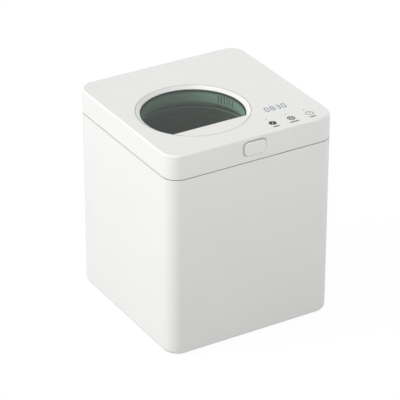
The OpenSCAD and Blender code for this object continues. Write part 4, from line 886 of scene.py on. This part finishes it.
# carbon granules in the cells of both faces of the cartridge
carbon = {"columns": 6, "rows": 4, "rim": 2.0, "deep": 1.9, "cell": 6.4, "granule": 1.15,
          "jitter": (0.4, 0.2, 0.4), "seed": 3}
granuleShares = ((0.7, 0.7, 0.7), (1.15, 1.15, 1.15))  # of the granule's size, at least and at most
carbonLow, carbonHigh = boxOf("filter_cartridge")
carbonMiddle = middleOf("filter_cartridge")
stepX = (carbonHigh[0] - carbonLow[0] - 2 * carbon["rim"]) / carbon["columns"]
stepZ = (carbonHigh[2] - carbonLow[2] - 2 * carbon["rim"]) / carbon["rows"]
yFront, yRear = carbonLow[1] + carbon["deep"], carbonHigh[1] - carbon["deep"]
fromLayout("carbonGranules", makeGranuleLayout(), "filter_drawer", "carbon_black",
           columns=carbon["columns"], rows=carbon["rows"], across=stepX * (carbon["columns"] - 1) * mm,
           tall=stepZ * (carbon["rows"] - 1) * mm, cell=carbon["cell"] * mm,
           granule=carbon["granule"] * mm, jitter=tuple(value * mm for value in carbon["jitter"]),
           middle=(carbonMiddle[0] * mm, yFront * mm, carbonMiddle[2] * mm),
           apart=(0.0, (yRear - yFront) * mm, 0.0), seed=carbon["seed"])
print("screws, spring and carbon set out")


# floor, light and camera

def makeFloor(spec):
    half, z = spec["floor"] / 2, -spec["drop"]
    mesh = bpy.data.meshes.new("studioFloor")
    mesh.from_pydata([(-half, -half, z), (half, -half, z), (half, half, z), (-half, half, z)], [],
                     [(0, 1, 2, 3)])
    floor = bpy.data.objects.new("studioFloor", mesh)
    scene.collection.objects.link(floor)
    look = bpy.data.materials.new("studioFloor")
    look.use_nodes = True
    tree = look.node_tree
    shader = tree.nodes["Principled BSDF"]
    setInputs(shader, Base_Color=(*spec["floorColour"], 1.0), Roughness=0.9, Specular_IOR_Level=0.1)
    # seen straight on, the paper is nearly white all over, with the faintest shade at the foot
    glow = addNode(tree, "ShaderNodeEmission", 0, -400)
    setInputs(glow, Strength=spec["seenGlow"])
    seen = addNode(tree, "ShaderNodeMixShader", 250, -300)
    setInputs(seen, Fac=spec["seenPart"])
    # what the object gets back from the paper is nearly the same all over
    paper = addNode(tree, "ShaderNodeEmission", 0, 0)
    setInputs(paper, Strength=spec["evenGlow"])
    even = addNode(tree, "ShaderNodeMixShader", 250, 0)
    setInputs(even, Fac=spec["evenPart"])
    ray = addNode(tree, "ShaderNodeLightPath", 0, 400)
    both = addNode(tree, "ShaderNodeMixShader", 500, 100)
    link(tree,
         (glow.outputs[0], seen.inputs[1]),
         (shader.outputs[0], seen.inputs[2]),
         (shader.outputs[0], even.inputs[1]),
         (paper.outputs[0], even.inputs[2]),
         (ray.outputs["Is Camera Ray"], both.inputs[0]),
         (even.outputs[0], both.inputs[1]),
         (seen.outputs[0], both.inputs[2]),
         (both.outputs[0], tree.nodes["Material Output"].inputs["Surface"]))
    mesh.materials.append(look)
    floor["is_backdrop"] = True


def makeSky(spec):
    scene.world = bpy.data.worlds.new("softRoom")
    scene.world.use_nodes = True
    tree = scene.world.node_tree
    room = tree.nodes["Background"]
    # white walls all round: brightest at the horizon, dimmer overhead
    place = addNode(tree, "ShaderNodeTexCoord", -1000, 0)
    parts = addNode(tree, "ShaderNodeSeparateXYZ", -800, 0)
    low = mathNode(tree, "SUBTRACT", 1.0, parts.outputs[2], -600, 0, clamp=True)
    fall = mathNode(tree, "POWER", low, spec["falloff"], -400, 0)
    wall = mathNode(tree, "MULTIPLY", fall, spec["horizon"] - spec["zenith"], -250, 0)
    setInputs(room, Color=(1.0, 1.0, 1.0, 1.0))
    link(tree,
         (place.outputs["Generated"], parts.inputs[0]),
         (mathNode(tree, "ADD", wall, spec["zenith"], -100, 0), room.inputs["Strength"]))


def makeLight(name, source, strength, spread):
    light = bpy.data.lights.new(name, "SUN")
    light.energy = strength
    light.angle = math.radians(spread)
    lamp = bpy.data.objects.new(name, light)
    lamp.location = Vector(source).normalized() * studio["lampDistance"]
    lamp.rotation_euler = (-Vector(source)).to_track_quat("-Z", "Y").to_euler()
    scene.collection.objects.link(lamp)


# metres; the floor lies just under the feet
studio = {"floor": 6.0, "drop": 0.0002, "floorColour": (0.6, 0.6, 0.6), "seenGlow": 1.03, "seenPart": 0.06,
          "evenGlow": 0.57, "evenPart": 0.85, "zenith": 0.27, "horizon": 2.3, "falloff": 4.0,
          "lampDistance": 3.0}
# each soft light: where it comes from, how strong it is, and its spread in degrees
softLights = {
    "keyLight": ((-0.349, 0.112, 0.353), 1.6, 22.0),
    "topLight": ((-0.216, 0.091, 0.973), 0.69, 24.0),
    "fillLight": ((1.0, -0.12, 0.15), 0.42, 50.0),
}
scene.view_settings.view_transform = "Standard"
makeFloor(studio)
makeSky(studio)
for name, spec in softLights.items():
    makeLight(name, *spec)
print("floor and lights placed")

# the photograph's angle: distance, across and raise are in widths of the object
view = {"distance": 12.53, "across": -0.025, "raise": -0.008, "lens": 209.7, "sensor": 36.0, "farEnd": 60.0,
        "azimuth": -30.72, "elevation": 28.48, "roll": 0.05}
objectWidth = round(cadHigh[0] - cadLow[0], 4)
middleHeight = round(cadHigh[2], 4) / 2
turn, tilt = math.radians(view["azimuth"]), math.radians(view["elevation"])
back = Vector((math.sin(turn) * math.cos(tilt), -math.cos(turn) * math.cos(tilt), math.sin(tilt)))
right = Vector((math.cos(turn), math.sin(turn), 0.0))
up = back.cross(right)
away = view["distance"] * back + view["across"] * right + view["raise"] * up
spot = Vector((0, 0, middleHeight)) + objectWidth * away
facing = Matrix((right, up, back)).transposed().to_4x4()
camera = bpy.data.objects.new("photoCamera", bpy.data.cameras.new("photoCamera"))
camera.data.lens = view["lens"]
camera.data.sensor_width = view["sensor"]
camera.data.clip_end = view["farEnd"]
roll = Matrix.Rotation(math.radians(view["roll"]), 4, "Z")
camera.matrix_world = Matrix.Translation(spot) @ facing @ roll
scene.collection.objects.link(camera)
scene.camera = camera

low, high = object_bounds()
